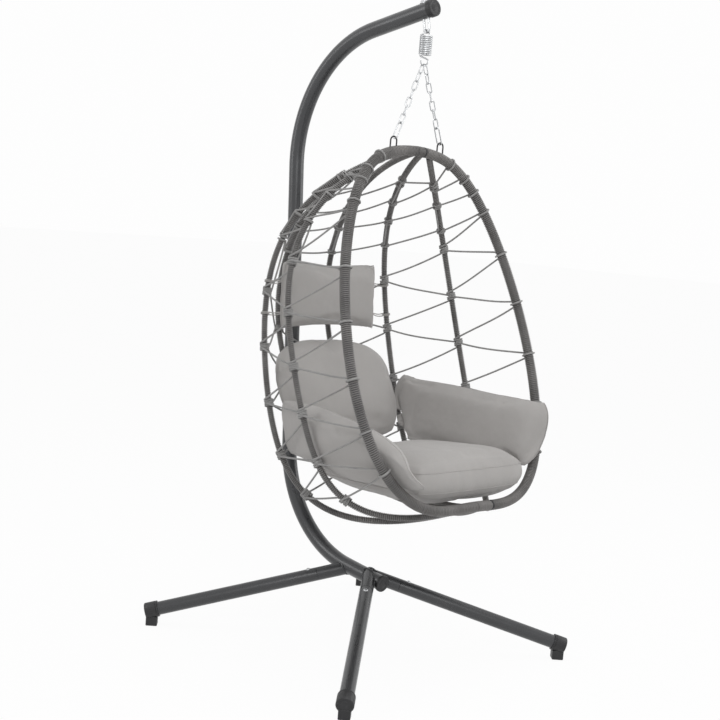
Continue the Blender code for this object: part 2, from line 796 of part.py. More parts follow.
def tuck(point, extra, wall):
    """Move a point inwards until it is clear of the basket's wall by its room and some extra."""
    spots, normals, rooms = wall
    spot = np.array(point)
    for _ in range(4):
        near = int(np.argmin(np.sum((spots - spot) ** 2, axis=1)))
        depth = float(np.dot(spot - spots[near], normals[near]))
        short = rooms[near] + extra - depth
        if short > 0.0:
            spot = spot + normals[near] * short
    return Vector(spot)


def pillow(name, half_thickness, edge, corner, place, wall, cuts=PILLOW_CUTS):
    """A crowned pad with round corners, tucked inside the basket; place maps (u, v, lift)."""
    mesh = bpy.data.meshes.new(name)
    body = bmesh.new()
    bmesh.ops.create_cube(body, size=2.0)
    bmesh.ops.subdivide_edges(body, edges=body.edges[:], cuts=cuts, use_grid_fill=True)
    for vert in body.verts:
        u, v, w = vert.co
        crown = sqrt(max(0.0, (1.0 - u ** 4) * (1.0 - v ** 4)))
        lift = w * half_thickness * (edge + (1.0 - edge) * crown)
        waist = 1.0 - 0.05 * w * w
        wide = u * waist * sqrt(1.0 - corner * v ** 4)
        tall = v * waist * sqrt(1.0 - corner * u ** 4)
        vert.co = tuck(place(wide, tall, lift), WALL_STEP * (1.0 + w), wall)
    bmesh.ops.recalc_face_normals(body, faces=body.faces)
    if body.calc_volume(signed=True) < 0.0:
        bmesh.ops.reverse_faces(body, faces=body.faces)
    body.to_mesh(mesh)
    body.free()
    return link_mesh(name, mesh)


def place_seat(u, v, lift):
    """Seat pad: u to the right, v to the back, sinking a little towards the back."""
    lift *= (1.0 if lift > 0.0 else 0.85) * (1.0 - 0.20 * v)
    z = SEAT_HEIGHT - 0.012 * v + lift
    return Vector((SEAT_SHIFT + u * SEAT_HALF_WIDTH, -0.212 + 0.235 * v, z))


def place_back(u, v, lift):
    """Back pad: u to the right, v up the back with a round top; lift points forwards."""
    high, low = max(0.0, v), max(0.0, -v)
    narrow = BACK_HALF_WIDTH * (1.0 - 0.30 * high ** 3 - 0.12 * low * low)
    along = 0.158 * v - 0.022 * high * u * u - 0.030 * low
    depth = lift + 0.020 * u * u
    y = 0.188 + along * sin(BACK_LEAN) - depth * cos(BACK_LEAN)
    z = 0.800 + along * cos(BACK_LEAN) + depth * sin(BACK_LEAN)
    return Vector((u * narrow - 0.006, y, z))


def place_arm_left(u, v, lift):
    """Left arm pad, slumped: u to the back, v up; its front end sags down and inwards."""
    front = max(0.0, 0.35 - u) / 1.35
    y = -0.154 + 0.279 * u - 0.034 * front * (1.0 - v)
    x = 0.292 - 0.020 * max(0.0, u) - lift + front * (0.012 * v - 0.006)
    z = 0.686 + 0.094 * v - 0.068 * front * front
    return Vector((-x, y, z))


def place_arm_right(u, v, lift):
    """Right arm pad: u to the back, v up; lift points to the middle."""
    front = max(0.0, -u - 0.8) / 0.2
    rear = max(0.0, u)
    y = -0.124 + 0.311 * u
    x = 0.304 - 0.018 * rear + 0.012 * front * front + 0.018 * v - lift * (1.0 - 0.25 * rear)
    z = 0.712 + 0.006 * rear + 0.112 * v
    return Vector((x, y, z))


def place_head(u, v, lift):
    """Head pillow: u to the right, v up; lift points forwards."""
    y = 0.243 + 0.105 * v * sin(HEAD_LEAN) - lift * cos(HEAD_LEAN)
    z = 1.076 + 0.105 * v * cos(HEAD_LEAN) + lift * sin(HEAD_LEAN)
    return Vector((u * 0.207, y, z))


def build_cushions():
    """Seat, back, two arms and the head pillow; the left arm has slumped inwards and down."""
    wall = basket_wall()
    return [
        pillow("cushion_seat", 0.067, 0.50, 0.16, place_seat, wall, ARM_CUTS),
        pillow("cushion_back", 0.043, 0.35, 0.25, place_back, wall, ARM_CUTS),
        pillow("cushion_arm_left", 0.040, 0.35, 0.20, place_arm_left, wall, ARM_CUTS),
        pillow("cushion_arm_right", 0.038, 0.35, 0.14, place_arm_right, wall, ARM_CUTS),
        pillow("cushion_head", 0.031, 0.20, 0.04, place_head, wall),
    ]


def main():
    """Build every part and give it its finish."""
    clear_scene()
    coat = make_material("powder_coat", (0.060, 0.061, 0.064), 0.30, 0.30)
    plastic = make_material("black_plastic", (0.012, 0.012, 0.013), 0.45, 0.0)
    zinc = make_material("zinc_plate", (0.62, 0.61, 0.58), 0.32, 1.0)
    rattan = make_material("grey_rattan", (0.125, 0.125, 0.128), 0.50, 0.0)
    rope = make_material("grey_rope", (0.36, 0.36, 0.355), 0.85, 0.0)
    cloth = make_material("grey_cloth", (0.39, 0.375, 0.36), 0.90, 0.0)
    steel_parts = build_pole() + build_legs()
    plastic_parts = build_caps() + build_feet()
    zinc_parts = build_leg_screws() + build_bolt() + build_spring()
    zinc_parts += build_chain("left", -1) + build_chain("right", 1)
    rim_left, rim_right, sleeve_top, sleeve_low = build_rim()
    plastic_parts += [sleeve_top, sleeve_low]
    rattan_parts = [rim_left, rim_right] + build_ribs()
    groups = (
        (coat, steel_parts), (plastic, plastic_parts), (zinc, zinc_parts),
        (rattan, rattan_parts), (rope, build_ropes()), (cloth, build_cushions()),
    )
    total = 0
    for material, parts in groups:
        for part in parts:
            paint(part, material)
            part.data.calc_loop_triangles()
            total += len(part.data.loop_triangles)
    print(f"{sum(len(parts) for _, parts in groups)} parts, {total} triangles")


main()
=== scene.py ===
"""Looks of a hanging egg chair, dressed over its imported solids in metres.

Each sub-assembly is a class: the stand, the hanging gear, the basket, its ropes and its cushions.
"""

import logging
from collections.abc import Callable, Sequence
from dataclasses import dataclass, field
from enum import Enum
from math import atan2, cos, pi, radians, sin, sqrt, tau
from random import Random
from typing import Any

import bmesh
import bpy
import numpy as np
from mathutils import Matrix, Vector
from mathutils.kdtree import KDTree

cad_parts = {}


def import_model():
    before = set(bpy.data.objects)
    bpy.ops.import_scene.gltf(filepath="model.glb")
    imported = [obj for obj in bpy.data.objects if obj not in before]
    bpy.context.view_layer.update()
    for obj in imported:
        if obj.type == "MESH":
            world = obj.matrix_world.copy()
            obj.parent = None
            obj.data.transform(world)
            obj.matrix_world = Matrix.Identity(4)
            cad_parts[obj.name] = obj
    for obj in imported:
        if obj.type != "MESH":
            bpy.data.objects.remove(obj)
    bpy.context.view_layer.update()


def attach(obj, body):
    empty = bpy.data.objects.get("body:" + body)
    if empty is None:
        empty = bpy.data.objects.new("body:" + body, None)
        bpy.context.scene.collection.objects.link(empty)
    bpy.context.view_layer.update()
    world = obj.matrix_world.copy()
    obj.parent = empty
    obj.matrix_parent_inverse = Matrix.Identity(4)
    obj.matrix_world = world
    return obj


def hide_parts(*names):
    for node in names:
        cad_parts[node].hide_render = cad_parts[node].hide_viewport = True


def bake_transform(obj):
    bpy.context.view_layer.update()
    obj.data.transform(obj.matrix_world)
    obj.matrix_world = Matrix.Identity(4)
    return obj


LOG = logging.getLogger("egg_chair")
HANG_Y = -0.095  # the basket hangs below this line
FIT_GAP = 0.0003  # room left between two parts that touch
UP = Vector((0.0, 0.0, 1.0))


class Body(Enum):
    """The rigid bodies that pieces ride on."""

    STAND = "stand"
    TOP_HOOK = "top_hook"
    BOTTOM_HOOK = "bottom_hook"
    FIRST_LINKS = "first_links"
    CHAINS = "chains"
    BASKET = "basket"


class Slot(Enum):
    """The record's material slots."""

    COAT = "powder_coat"
    PLASTIC = "black_plastic"
    ZINC = "zinc_plate"
    RATTAN = "grey_rattan"
    ROPE = "grey_rope"
    CLOTH = "grey_cloth"


class Side(Enum):
    """The chair's two sides, with the sign of X on each."""

    LEFT = -1
    RIGHT = 1

    @property
    def word(self) -> str:
        """The side's name as nodes spell it."""
        return self.name.lower()


Colour = tuple[float, float, float]


# ---- finishes ---------------------------------------------------------------
class NodeGraph:
    """A material whose nodes are added and joined in a few words."""

    def __init__(self, name: str) -> None:
        """Start a material.

        Args:
            name: the finish's name.
        """
        self.material = bpy.data.materials.new(name)
        self.material.use_nodes = True
        self.tree = self.material.node_tree
        self.shader = self.tree.nodes["Principled BSDF"]

    def add(self, kind: str, settings: dict[str, Any] | None = None, **sockets: Any) -> bpy.types.Node:
        """Add a node.

        Args:
            kind: the node's type.
            settings: the node's own properties.
            sockets: values or output sockets for its inputs, with _ for a space in a name.

        Returns:
            The new node.
        """
        node = self.tree.nodes.new(kind)
        for key, value in (settings or {}).items():
            setattr(node, key, value)
        for key, value in sockets.items():
            self.put(node.inputs[int(key[1:]) if key[1:].isdigit() else key.replace("_", " ")], value)
        return node

    def put(self, socket: bpy.types.NodeSocket, value: Any) -> None:
        """Set an input socket, or link it to an output socket."""
        if isinstance(value, bpy.types.NodeSocket):
            self.tree.links.new(value, socket)
        else:
            socket.default_value = value

    def maths(self, operation: str, *terms: Any) -> bpy.types.NodeSocket:
        """One maths step on sockets or numbers.

        Args:
            operation: the Math node's operation.
            terms: its inputs in order.

        Returns:
            The result's socket.
        """
        node = self.tree.nodes.new("ShaderNodeMath")
        node.operation = operation
        for socket, term in zip(node.inputs, terms):
            self.put(socket, term)
        return node.outputs[0]

    def place(self) -> bpy.types.NodeSocket:
        """Object coordinates."""
        return self.add("ShaderNodeTexCoord").outputs["Object"]

    def noise(self, scale: float, detail: float = 3.0, roughness: float = 0.5) -> bpy.types.NodeSocket:
        """Noise on object coordinates.

        Args:
            scale: how fine the noise is.
            detail: how many octaves it has.
            roughness: how strong the fine octaves are.

        Returns:
            The noise value's socket.
        """
        node = self.add("ShaderNodeTexNoise", Vector=self.place(), Scale=scale, Detail=detail,
                        Roughness=roughness)
        return node.outputs["Fac"]

    def span(self, value: Any, low: float, high: float) -> bpy.types.NodeSocket:
        """Spread a noise value, which stays near a half, over a range.

        Args:
            value: the socket to spread.
            low: the result where the value is 0.3.
            high: the result where the value is 0.7.

        Returns:
            The spread value's socket.
        """
        node = self.add("ShaderNodeMapRange")
        self.put(node.inputs["Value"], value)
        for key, number in (("From Min", 0.3), ("From Max", 0.7), ("To Min", low), ("To Max", high)):
            node.inputs[key].default_value = number
        return node.outputs["Result"]

    def shade(self, amount: Any, dark: Colour, light: Colour) -> bpy.types.NodeSocket:
        """Mix two colours.

        Args:
            amount: 0 for the dark one and 1 for the light one.
            dark: the first colour.
            light: the second colour.

        Returns:
            The mixed colour's socket.
        """
        node = self.add("ShaderNodeMix", {"data_type": "RGBA"})
        self.put(node.inputs["Factor"], amount)
        next(s for s in node.inputs if s.identifier == "A_Color").default_value = (*dark, 1.0)
        next(s for s in node.inputs if s.identifier == "B_Color").default_value = (*light, 1.0)
        return next(s for s in node.outputs if s.identifier == "Result_Color")

    def bump(self, height: bpy.types.NodeSocket, distance: float, strength: float = 1.0,
             under: bpy.types.NodeSocket | None = None) -> bpy.types.NodeSocket:
        """Turn a height into a bent normal.

        Args:
            height: the height's socket, from 0 to 1.
            distance: how high 1 is, in metres.
            strength: how much of the bump shows.
            under: a bump that this one lies on.

        Returns:
            The normal's socket.
        """
        node = self.add("ShaderNodeBump", Height=height, Distance=distance, Strength=strength)
        if under is not None:
            self.put(node.inputs["Normal"], under)
        return node.outputs["Normal"]

    def attribute(self, name: str) -> bpy.types.NodeSocket:
        """A number stored on the piece's points."""
        return self.add("ShaderNodeAttribute", {"attribute_name": name}).outputs["Fac"]

    def finish(self, **sockets: Any) -> bpy.types.Material:
        """Set the shader's inputs.

        Args:
            sockets: values or sockets by input name, with _ for a space.

        Returns:
            The finished material.
        """
        for key, value in sockets.items():
            if isinstance(value, tuple) and len(value) == 3:
                value = (*value, 1.0)
            self.put(self.shader.inputs[key.replace("_", " ")], value)
        return self.material


def tinted(colour: Colour, factor: float) -> Colour:
    """A colour made lighter or darker by a factor."""
    return tuple(min(1.0, part * factor) for part in colour)


@dataclass(frozen=True)
class PowderCoat:
    """Charcoal powder coat: a satin skin with faint orange peel."""

    colour: Colour = (0.046, 0.047, 0.050)
    roughness: float = 0.30

    def build(self) -> bpy.types.Material:
        """Make the material."""
        graph = NodeGraph("powder_coat")
        tone = graph.shade(graph.span(graph.noise(7.0), 0.0, 1.0), tinted(self.colour, 0.88),
                           tinted(self.colour, 1.14))
        rough = graph.span(graph.noise(26.0, 4.0), self.roughness - 0.05, self.roughness + 0.07)
        peel = graph.bump(graph.noise(750.0, 2.0), 0.00012, 0.35)
        return graph.finish(Base_Color=tone, Roughness=rough, Normal=peel, Metallic=0.25,
                            Coat_Weight=0.25, Coat_Roughness=0.22)


@dataclass(frozen=True)
class MouldedPlastic:
    """Black moulded plastic with a fine spark-eroded grain and a few scuffs."""

    colour: Colour = (0.010, 0.010, 0.011)
    roughness: float = 0.44

    def build(self) -> bpy.types.Material:
        """Make the material."""
        graph = NodeGraph("black_plastic")
        tone = graph.shade(graph.span(graph.noise(60.0, 5.0), 0.0, 1.0), self.colour,
                           tinted(self.colour, 1.9))
        rough = graph.span(graph.noise(140.0, 4.0), self.roughness - 0.08, self.roughness + 0.12)
        grain = graph.bump(graph.noise(1900.0, 2.0), 0.00008, 0.5)
        return graph.finish(Base_Color=tone, Roughness=rough, Normal=grain)


@dataclass(frozen=True)
class ZincPlate:
    """Bright zinc on steel wire, a little cloudy, with fine drawing marks."""

    colour: Colour = (0.60, 0.61, 0.62)
    roughness: float = 0.27

    def build(self) -> bpy.types.Material:
        """Make the material."""
        graph = NodeGraph("zinc_plate")
        cloud = graph.span(graph.noise(120.0, 5.0, 0.6), 0.0, 1.0)
        tone = graph.shade(cloud, tinted(self.colour, 0.72), tinted(self.colour, 1.10))
        rough = graph.span(graph.noise(300.0, 4.0), self.roughness - 0.07, self.roughness + 0.13)
        marks = graph.bump(graph.noise(2400.0, 2.0), 0.00005, 0.35)
        return graph.finish(Base_Color=tone, Roughness=rough, Normal=marks, Metallic=1.0)


@dataclass(frozen=True)
class RoundRattan:
    """Grey plastic rattan strand: satin and streaked along the strand; the dark between turns is painted
    shade from a black tube laid under the winding.
    """

    colour: Colour = (0.170, 0.163, 0.158)
    roughness: float = 0.33

    def build(self) -> bpy.types.Material:
        """Make the material."""
        graph = NodeGraph("grey_rattan")
        along = graph.attribute("along")
        around = graph.attribute("around")
        slow = graph.add("ShaderNodeTexNoise", {"noise_dimensions": "1D"}, W=along, Scale=9.0, Detail=2.0)
        streak_at = graph.add("ShaderNodeCombineXYZ", X=graph.maths("MULTIPLY", along, 20.0),
                              Y=graph.maths("MULTIPLY", around, 26.0))
        streak = graph.add("ShaderNodeTexNoise", Vector=streak_at.outputs[0], Scale=1.0, Detail=3.0)
        mixed = graph.maths("ADD", graph.maths("MULTIPLY", slow.outputs["Fac"], 0.55),
                            graph.maths("MULTIPLY", streak.outputs["Fac"], 0.45))
        tone = graph.shade(graph.span(mixed, 0.0, 1.0), tinted(self.colour, 0.62),
                           tinted(self.colour, 1.45))
        rough = graph.span(streak.outputs["Fac"], self.roughness - 0.06, self.roughness + 0.12)
        ridge = graph.bump(streak.outputs["Fac"], 0.00018, 0.6)
        return graph.finish(Base_Color=tone, Roughness=rough, Normal=ridge)


@dataclass(frozen=True)
class BraidedCord:
    """Light grey cord whose strands cross in a braid."""

    colour: Colour = (0.36, 0.355, 0.35)
    stitch: float = 0.0042  # one repeat of the braid along the cord
    strands: float = 4.0

    def build(self) -> bpy.types.Material:
        """Make the material."""
        graph = NodeGraph("grey_rope")
        along = graph.maths("MULTIPLY", graph.attribute("along"), tau / self.stitch)
        around = graph.maths("MULTIPLY", graph.attribute("around"), tau * self.strands)
        left = graph.maths("SINE", graph.maths("ADD", around, along))
        right = graph.maths("SINE", graph.maths("SUBTRACT", around, along))
        braid = graph.maths("MULTIPLY_ADD", graph.maths("MAXIMUM", left, right), 0.5, 0.5)
        dust = graph.noise(45.0, 4.0)
        # The braid's relief is painted into the colour: darker in the crevices as painted shade, lighter on
        # the crests as painted highlight; the dust noise adds random dirt.
        crevice_shade_and_dust = graph.maths("MULTIPLY", braid, graph.span(dust, 0.55, 1.0))
        tone = graph.shade(crevice_shade_and_dust, tinted(self.colour, 0.50), tinted(self.colour, 1.22))
        fuzz = graph.bump(graph.noise(2600.0, 2.0), 0.0001, 0.5)
        relief = graph.bump(braid, 0.0006, 0.85, fuzz)
        return graph.finish(Base_Color=tone, Roughness=0.86, Normal=relief, Sheen_Weight=0.15,
                            Sheen_Roughness=0.5)


@dataclass(frozen=True)
class WovenCloth:
    """Light warm grey plain weave, with soft blotches and a faint bloom."""

    colour: Colour = (0.435, 0.420, 0.408)
    thread: float = 0.00105  # one over and under of the weave

    def build(self) -> bpy.types.Material:
        """Make the material."""
        graph = NodeGraph("grey_cloth")
        place = graph.add("ShaderNodeSeparateXYZ", Vector=graph.place())
        turn = tau / self.thread
        waves = [graph.maths("SINE", graph.maths("MULTIPLY", place.outputs[axis], turn))
                 for axis in range(3)]
        first = graph.maths("MULTIPLY", waves[0], waves[1])
        second = graph.maths("MULTIPLY", waves[1], waves[2])
        third = graph.maths("MULTIPLY", waves[0], waves[2])
        weave = graph.maths("ADD", graph.maths("ADD", first, second), third)
        weave = graph.maths("MULTIPLY_ADD", weave, 0.25, 0.5)
        blotch = graph.maths("ADD", graph.maths("MULTIPLY", graph.noise(5.0, 4.0, 0.55), 0.7),
                             graph.maths("MULTIPLY", graph.noise(420.0, 2.0), 0.3))
        tone = graph.shade(graph.span(blotch, 0.0, 1.0), tinted(self.colour, 0.93),
                           tinted(self.colour, 1.06))
        slub = graph.bump(graph.noise(160.0, 5.0, 0.65), 0.0005, 0.28)
        fold = graph.bump(graph.noise(13.0, 2.0, 0.45), 0.014, 0.5, slub)
        thread = graph.bump(weave, 0.00016, 0.55, fold)
        return graph.finish(Base_Color=tone, Roughness=0.88, Normal=thread, Sheen_Weight=0.22,
                            Sheen_Roughness=0.45, Specular_IOR_Level=0.3)


@dataclass
class Finishes:
    """Every finish, made once."""

    made: dict[Slot, bpy.types.Material] = field(default_factory=dict)

    def __post_init__(self) -> None:
        """Build one material for each slot."""
        makers = {Slot.COAT: PowderCoat(), Slot.PLASTIC: MouldedPlastic(), Slot.ZINC: ZincPlate(),
                  Slot.RATTAN: RoundRattan(), Slot.ROPE: BraidedCord(), Slot.CLOTH: WovenCloth()}
        self.made = {slot: maker.build() for slot, maker in makers.items()}

    def __getitem__(self, slot: Slot) -> bpy.types.Material:
        """The material of a slot."""
        return self.made[slot]


# ---- geometry node trees ------------------------------------------------------
@dataclass
class Run:
    """A line of points that a sweep follows."""

    points: list[Vector]
    closed: bool = False


class GrowTree:
    """A geometry node tree whose guide curves become one mesh."""

    def __init__(self, name: str, inputs: dict[str, str]) -> None:
        """Start a tree.

        Args:
            name: the tree's name.
            inputs: socket kinds by input name, apart from the guide curves.
        """
        self.tree = bpy.data.node_groups.new(name, "GeometryNodeTree")
        face = self.tree.interface
        face.new_socket("Guides", in_out="INPUT", socket_type="NodeSocketGeometry")
        face.new_socket("Mesh", in_out="OUTPUT", socket_type="NodeSocketGeometry")
        self.keys = {
            label: face.new_socket(label, in_out="INPUT", socket_type=kind).identifier
            for label, kind in {**inputs, "Finish": "NodeSocketMaterial"}.items()
        }
        self.source = self.tree.nodes.new("NodeGroupInput").outputs
        self.result = self.tree.nodes.new("NodeGroupOutput")

    def add(self, kind: str, settings: dict[str, Any] | None = None, **sockets: Any) -> bpy.types.Node:
        """Add a node.

        Args:
            kind: the node's type.
            settings: the node's own properties.
            sockets: values or sockets by input name, with _ for a space, or by _number.

        Returns:
            The new node.
        """
        node = self.tree.nodes.new(kind)
        for key, value in (settings or {}).items():
            setattr(node, key, value)
        for key, value in sockets.items():
            socket = node.inputs[int(key[1:]) if key[1:].isdigit() else key.replace("_", " ")]
            if isinstance(value, bpy.types.NodeSocket):
                self.tree.links.new(value, socket)
            else:
                socket.default_value = value
        return node

    def maths(self, operation: str, first: Any, second: Any = 0.0) -> bpy.types.NodeSocket:
        """One maths step.

        Args:
            operation: the Math node's operation.
            first: its first input.
            second: its second input.

        Returns:
            The result's socket.
        """
        return self.add("ShaderNodeMath", {"operation": operation}, _0=first, _1=second).outputs[0]

    def vector(self, operation: str, first: Any, second: Any) -> bpy.types.NodeSocket:
        """One vector step.

        Args:
            operation: SCALE takes a number second, and the others a vector.
            first: its first input.
            second: its second input.

        Returns:
            The result's socket.
        """
        keys = {"_0": first, "_3" if operation == "SCALE" else "_1": second}
        return self.add("ShaderNodeVectorMath", {"operation": operation}, **keys).outputs[0]

    def store(self, curve: bpy.types.NodeSocket, label: str, value: Any) -> bpy.types.NodeSocket:
        """Keep a number on every point of a curve.

        Args:
            curve: the curve.
            label: the attribute's name.
            value: the number's socket.

        Returns:
            The curve with the attribute.
        """
        node = self.add("GeometryNodeStoreNamedAttribute", {"data_type": "FLOAT", "domain": "POINT"},
                        Geometry=curve, Name=label, Value=value)
        return node.outputs["Geometry"]

    def end(self, guide: bpy.types.NodeSocket, radius: Any, sides: Any) -> None:
        """Sweep a round section along the guide, and finish the tree.

        Args:
            guide: the curve to follow.
            radius: the section's radius.
            sides: how many sides the section has.
        """
        ring = self.add("GeometryNodeCurvePrimitiveCircle", {"mode": "RADIUS"}, Resolution=sides)
        self.tree.links.new(radius, next(s for s in ring.inputs if s.name == "Radius"))
        turn = self.add("GeometryNodeSplineParameter").outputs["Factor"]
        section = self.store(ring.outputs["Curve"], "around", turn)
        swept = self.add("GeometryNodeCurveToMesh", Curve=guide, Profile_Curve=section, Fill_Caps=True)
        smooth = self.add("GeometryNodeSetShadeSmooth", Geometry=swept.outputs["Mesh"])
        real = self.add("GeometryNodeRealizeInstances", Geometry=smooth.outputs["Geometry"])
        dressed = self.add("GeometryNodeSetMaterial", Geometry=real.outputs["Geometry"],
                           Material=self.source["Finish"])
        self.tree.links.new(dressed.outputs["Geometry"], self.result.inputs["Mesh"])

    def grow(self, name: str, runs: Sequence[Run], finish: bpy.types.Material,
             **values: Any) -> bpy.types.Object:
        """Run the tree on some guides and keep the result as a plain mesh.

        Args:
            name: the new piece's name.
            runs: the guides.
            finish: the piece's material.
            values: the tree's inputs by name, with _ for a space.

        Returns:
            The new piece.
        """
        curve = bpy.data.curves.new(name, "CURVE")
        curve.dimensions = "3D"
        for run in runs:
            spline = curve.splines.new("POLY")
            spline.points.add(len(run.points) - 1)
            for spot, point in zip(spline.points, run.points):
                spot.co = (*point, 1.0)
            spline.use_cyclic_u = run.closed
        guide = bpy.data.objects.new(f"{name}_guide", curve)
        bpy.context.scene.collection.objects.link(guide)
        step = guide.modifiers.new(self.tree.name, "NODES")
        step.node_group = self.tree
        for label, value in {**values, "Finish": finish}.items():
            step[self.keys[label.replace("_", " ")]] = value
        bpy.context.view_layer.update()
        ready = guide.evaluated_get(bpy.context.evaluated_depsgraph_get())
        mesh = bpy.data.meshes.new_from_object(ready)
        mesh.name = name
        guide.modifiers.remove(step)
        bpy.data.objects.remove(guide)
        return linked(name, mesh)


def make_sweep_tree() -> GrowTree:
    """A round bar along each guide, with how far along and around each point is."""
    tree = GrowTree("Round bar", {"Radius": "NodeSocketFloat", "Sides": "NodeSocketInt"})
    distance = tree.add("GeometryNodeSplineParameter").outputs["Length"]
    guide = tree.store(tree.source["Guides"], "along", distance)
    tree.end(guide, tree.source["Radius"], tree.source["Sides"])
    return tree


def make_winding_tree() -> GrowTree:
    """A strand wound in a close helix round each guide."""
    tree = GrowTree("Wound strand", {
        "Wrap radius": "NodeSocketFloat", "Strand radius": "NodeSocketFloat",
        "Pitch": "NodeSocketFloat", "Steps": "NodeSocketInt", "Sides": "NodeSocketInt"})
    length = tree.add("GeometryNodeCurveLength", Curve=tree.source["Guides"]).outputs["Length"]
    turns = tree.maths("DIVIDE", length, tree.source["Pitch"])
    count = tree.maths("MULTIPLY", turns, tree.source["Steps"])
    even = tree.add("GeometryNodeResampleCurve", Curve=tree.source["Guides"], Count=count)
    even.mode = "COUNT"
    keep = tree.tree.nodes.new("GeometryNodeCaptureAttribute")
    keep.domain = "POINT"
    for kind, label in (("VECTOR", "normal"), ("VECTOR", "tangent"), ("FLOAT", "distance")):
        keep.capture_items.new(kind, label)
    tree.tree.links.new(even.outputs["Curve"], keep.inputs["Geometry"])
    fields = (tree.add("GeometryNodeInputNormal").outputs["Normal"],
              tree.add("GeometryNodeInputTangent").outputs["Tangent"],
              tree.add("GeometryNodeSplineParameter").outputs["Length"])
    for number, value in enumerate(fields):
        tree.tree.links.new(value, keep.inputs[number + 1])
    normal, tangent, distance = keep.outputs[1], keep.outputs[2], keep.outputs[3]
    angle = tree.maths("MULTIPLY", tree.maths("DIVIDE", distance, tree.source["Pitch"]), tau)
    across = tree.vector("CROSS_PRODUCT", tangent, normal)
    arm = tree.vector("ADD", tree.vector("SCALE", normal, tree.maths("COSINE", angle)),
                      tree.vector("SCALE", across, tree.maths("SINE", angle)))
    offset = tree.vector("SCALE", arm, tree.source["Wrap radius"])
    wound = tree.add("GeometryNodeSetPosition", Geometry=keep.outputs["Geometry"], Offset=offset)
    strand = tree.store(wound.outputs["Geometry"], "along", distance)
    tree.end(strand, tree.source["Strand radius"], tree.source["Sides"])
    return tree


@dataclass
class Workshop:
    """The finishes and the node trees that every sub-assembly uses."""

    finishes: Finishes = field(default_factory=Finishes)
    bar_tree: GrowTree = field(default_factory=make_sweep_tree)
    winding_tree: GrowTree = field(default_factory=make_winding_tree)

    def bar(self, name: str, runs: Sequence[Run], radius: float, sides: int,
            slot: Slot) -> bpy.types.Object:
        """Sweep round bars along some lines as one piece.

        Args:
            name: the piece's name.
            runs: the lines.
            radius: the bars' radius.
            sides: how many sides a bar has.
            slot: the finish.

        Returns:
            The new piece.
        """
        return self.bar_tree.grow(name, runs, self.finishes[slot], Radius=radius, Sides=sides)

    def winding(self, name: str, run: Run, radius: float, strand: float, pitch: float,
                steps: int) -> bpy.types.Object:
        """Wind rattan round a line.

        Args:
            name: the piece's name.
            run: the line.
            radius: the outer radius of the winding.
            strand: the strand's radius.
            pitch: the step from turn to turn.
            steps: points to a turn.

        Returns:
            The new piece.
        """
        return self.winding_tree.grow(name, [run], self.finishes[Slot.RATTAN], Wrap_radius=radius - strand,
                                      Strand_radius=strand, Pitch=pitch, Steps=steps, Sides=6)

    def solid(self, name: str, body: bmesh.types.BMesh, slot: Slot) -> bpy.types.Object:
        """Keep a bmesh as a piece with smooth sides and crisp edges.

        Args:
            name: the piece's name.
            body: the bmesh, which is used up.
            slot: the finish.

        Returns:
            The new piece.
        """
        bmesh.ops.remove_doubles(body, verts=body.verts, dist=1e-6)
        bmesh.ops.recalc_face_normals(body, faces=body.faces)
        mesh = bpy.data.meshes.new(name)
        body.to_mesh(mesh)
        body.free()
        mesh.shade_smooth()
        mesh.set_sharp_from_angle(angle=radians(38.0))
        mesh.materials.append(self.finishes[slot])
        return linked(name, mesh)


def linked(name: str, mesh: bpy.types.Mesh) -> bpy.types.Object:
    """Show a mesh as an object at the origin.

    Args:
        name: the object's name.
        mesh: its mesh.

    Returns:
        The new object.
    """
    item = bpy.data.objects.new(name, mesh)
    bpy.context.scene.collection.objects.link(item)
    return item


def settle(piece: bpy.types.Object, body: Body, slot: Slot, *nodes: str) -> bpy.types.Object:
    """Put a finished piece on its body and hide what it stands for.

    Args:
        piece: the finished piece.
        body: the body that it rides on.
        slot: the record's material slot; it is not used.
        nodes: the solids that it replaces.

    Returns:
        The piece.
    """
    if nodes:
        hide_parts(*nodes)
    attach(piece, body.value)
    LOG.info("%s: %d faces on %s", piece.name, len(piece.data.polygons), body.value)
    return piece


def ring_of(body: bmesh.types.BMesh, centre: Vector, axis: Vector, radius: float,
            sides: int) -> list[bmesh.types.BMVert]:
    """A ring of points square to an axis.

    Args:
        body: the bmesh that gets them.
        centre: the ring's middle.
        axis: the ring's axis.
        radius: its radius.
        sides: how many points it has.

    Returns:
        The new points in order.
    """
    turn = axis.to_track_quat("Z", "Y")
    spots = (Vector((cos(tau * n / sides), sin(tau * n / sides), 0.0)) for n in range(sides))
    return [body.verts.new(centre + turn @ (spot * radius)) for spot in spots]


def lathe(body: bmesh.types.BMesh, start: Vector, axis: Vector, profile: Sequence[tuple[float, float]],
          sides: int = 40) -> None:
    """Turn a profile about an axis.

    Args:
        body: the bmesh that gets the shape.
        start: where the axis starts.
        axis: the axis's direction.
        profile: (distance along, radius) pairs; a radius of 0 closes the shape.
        sides: how many sides it has.
    """
    way = axis.normalized()
    rings: list[list[bmesh.types.BMVert]] = []
    for along, radius in profile:
        if radius < 1e-6:
            rings.append([body.verts.new(start + way * along)])
        else:
            rings.append(ring_of(body, start + way * along, way, radius, sides))
    for lower, upper in zip(rings, rings[1:]):
        for n in range(sides):
            a, b = lower[n % len(lower)], lower[(n + 1) % len(lower)]
            c, d = upper[(n + 1) % len(upper)], upper[n % len(upper)]
            corners = [a] + ([b] if b is not a else []) + [c] + ([d] if d is not c else [])
            if len(corners) > 2:
                body.faces.new(corners)


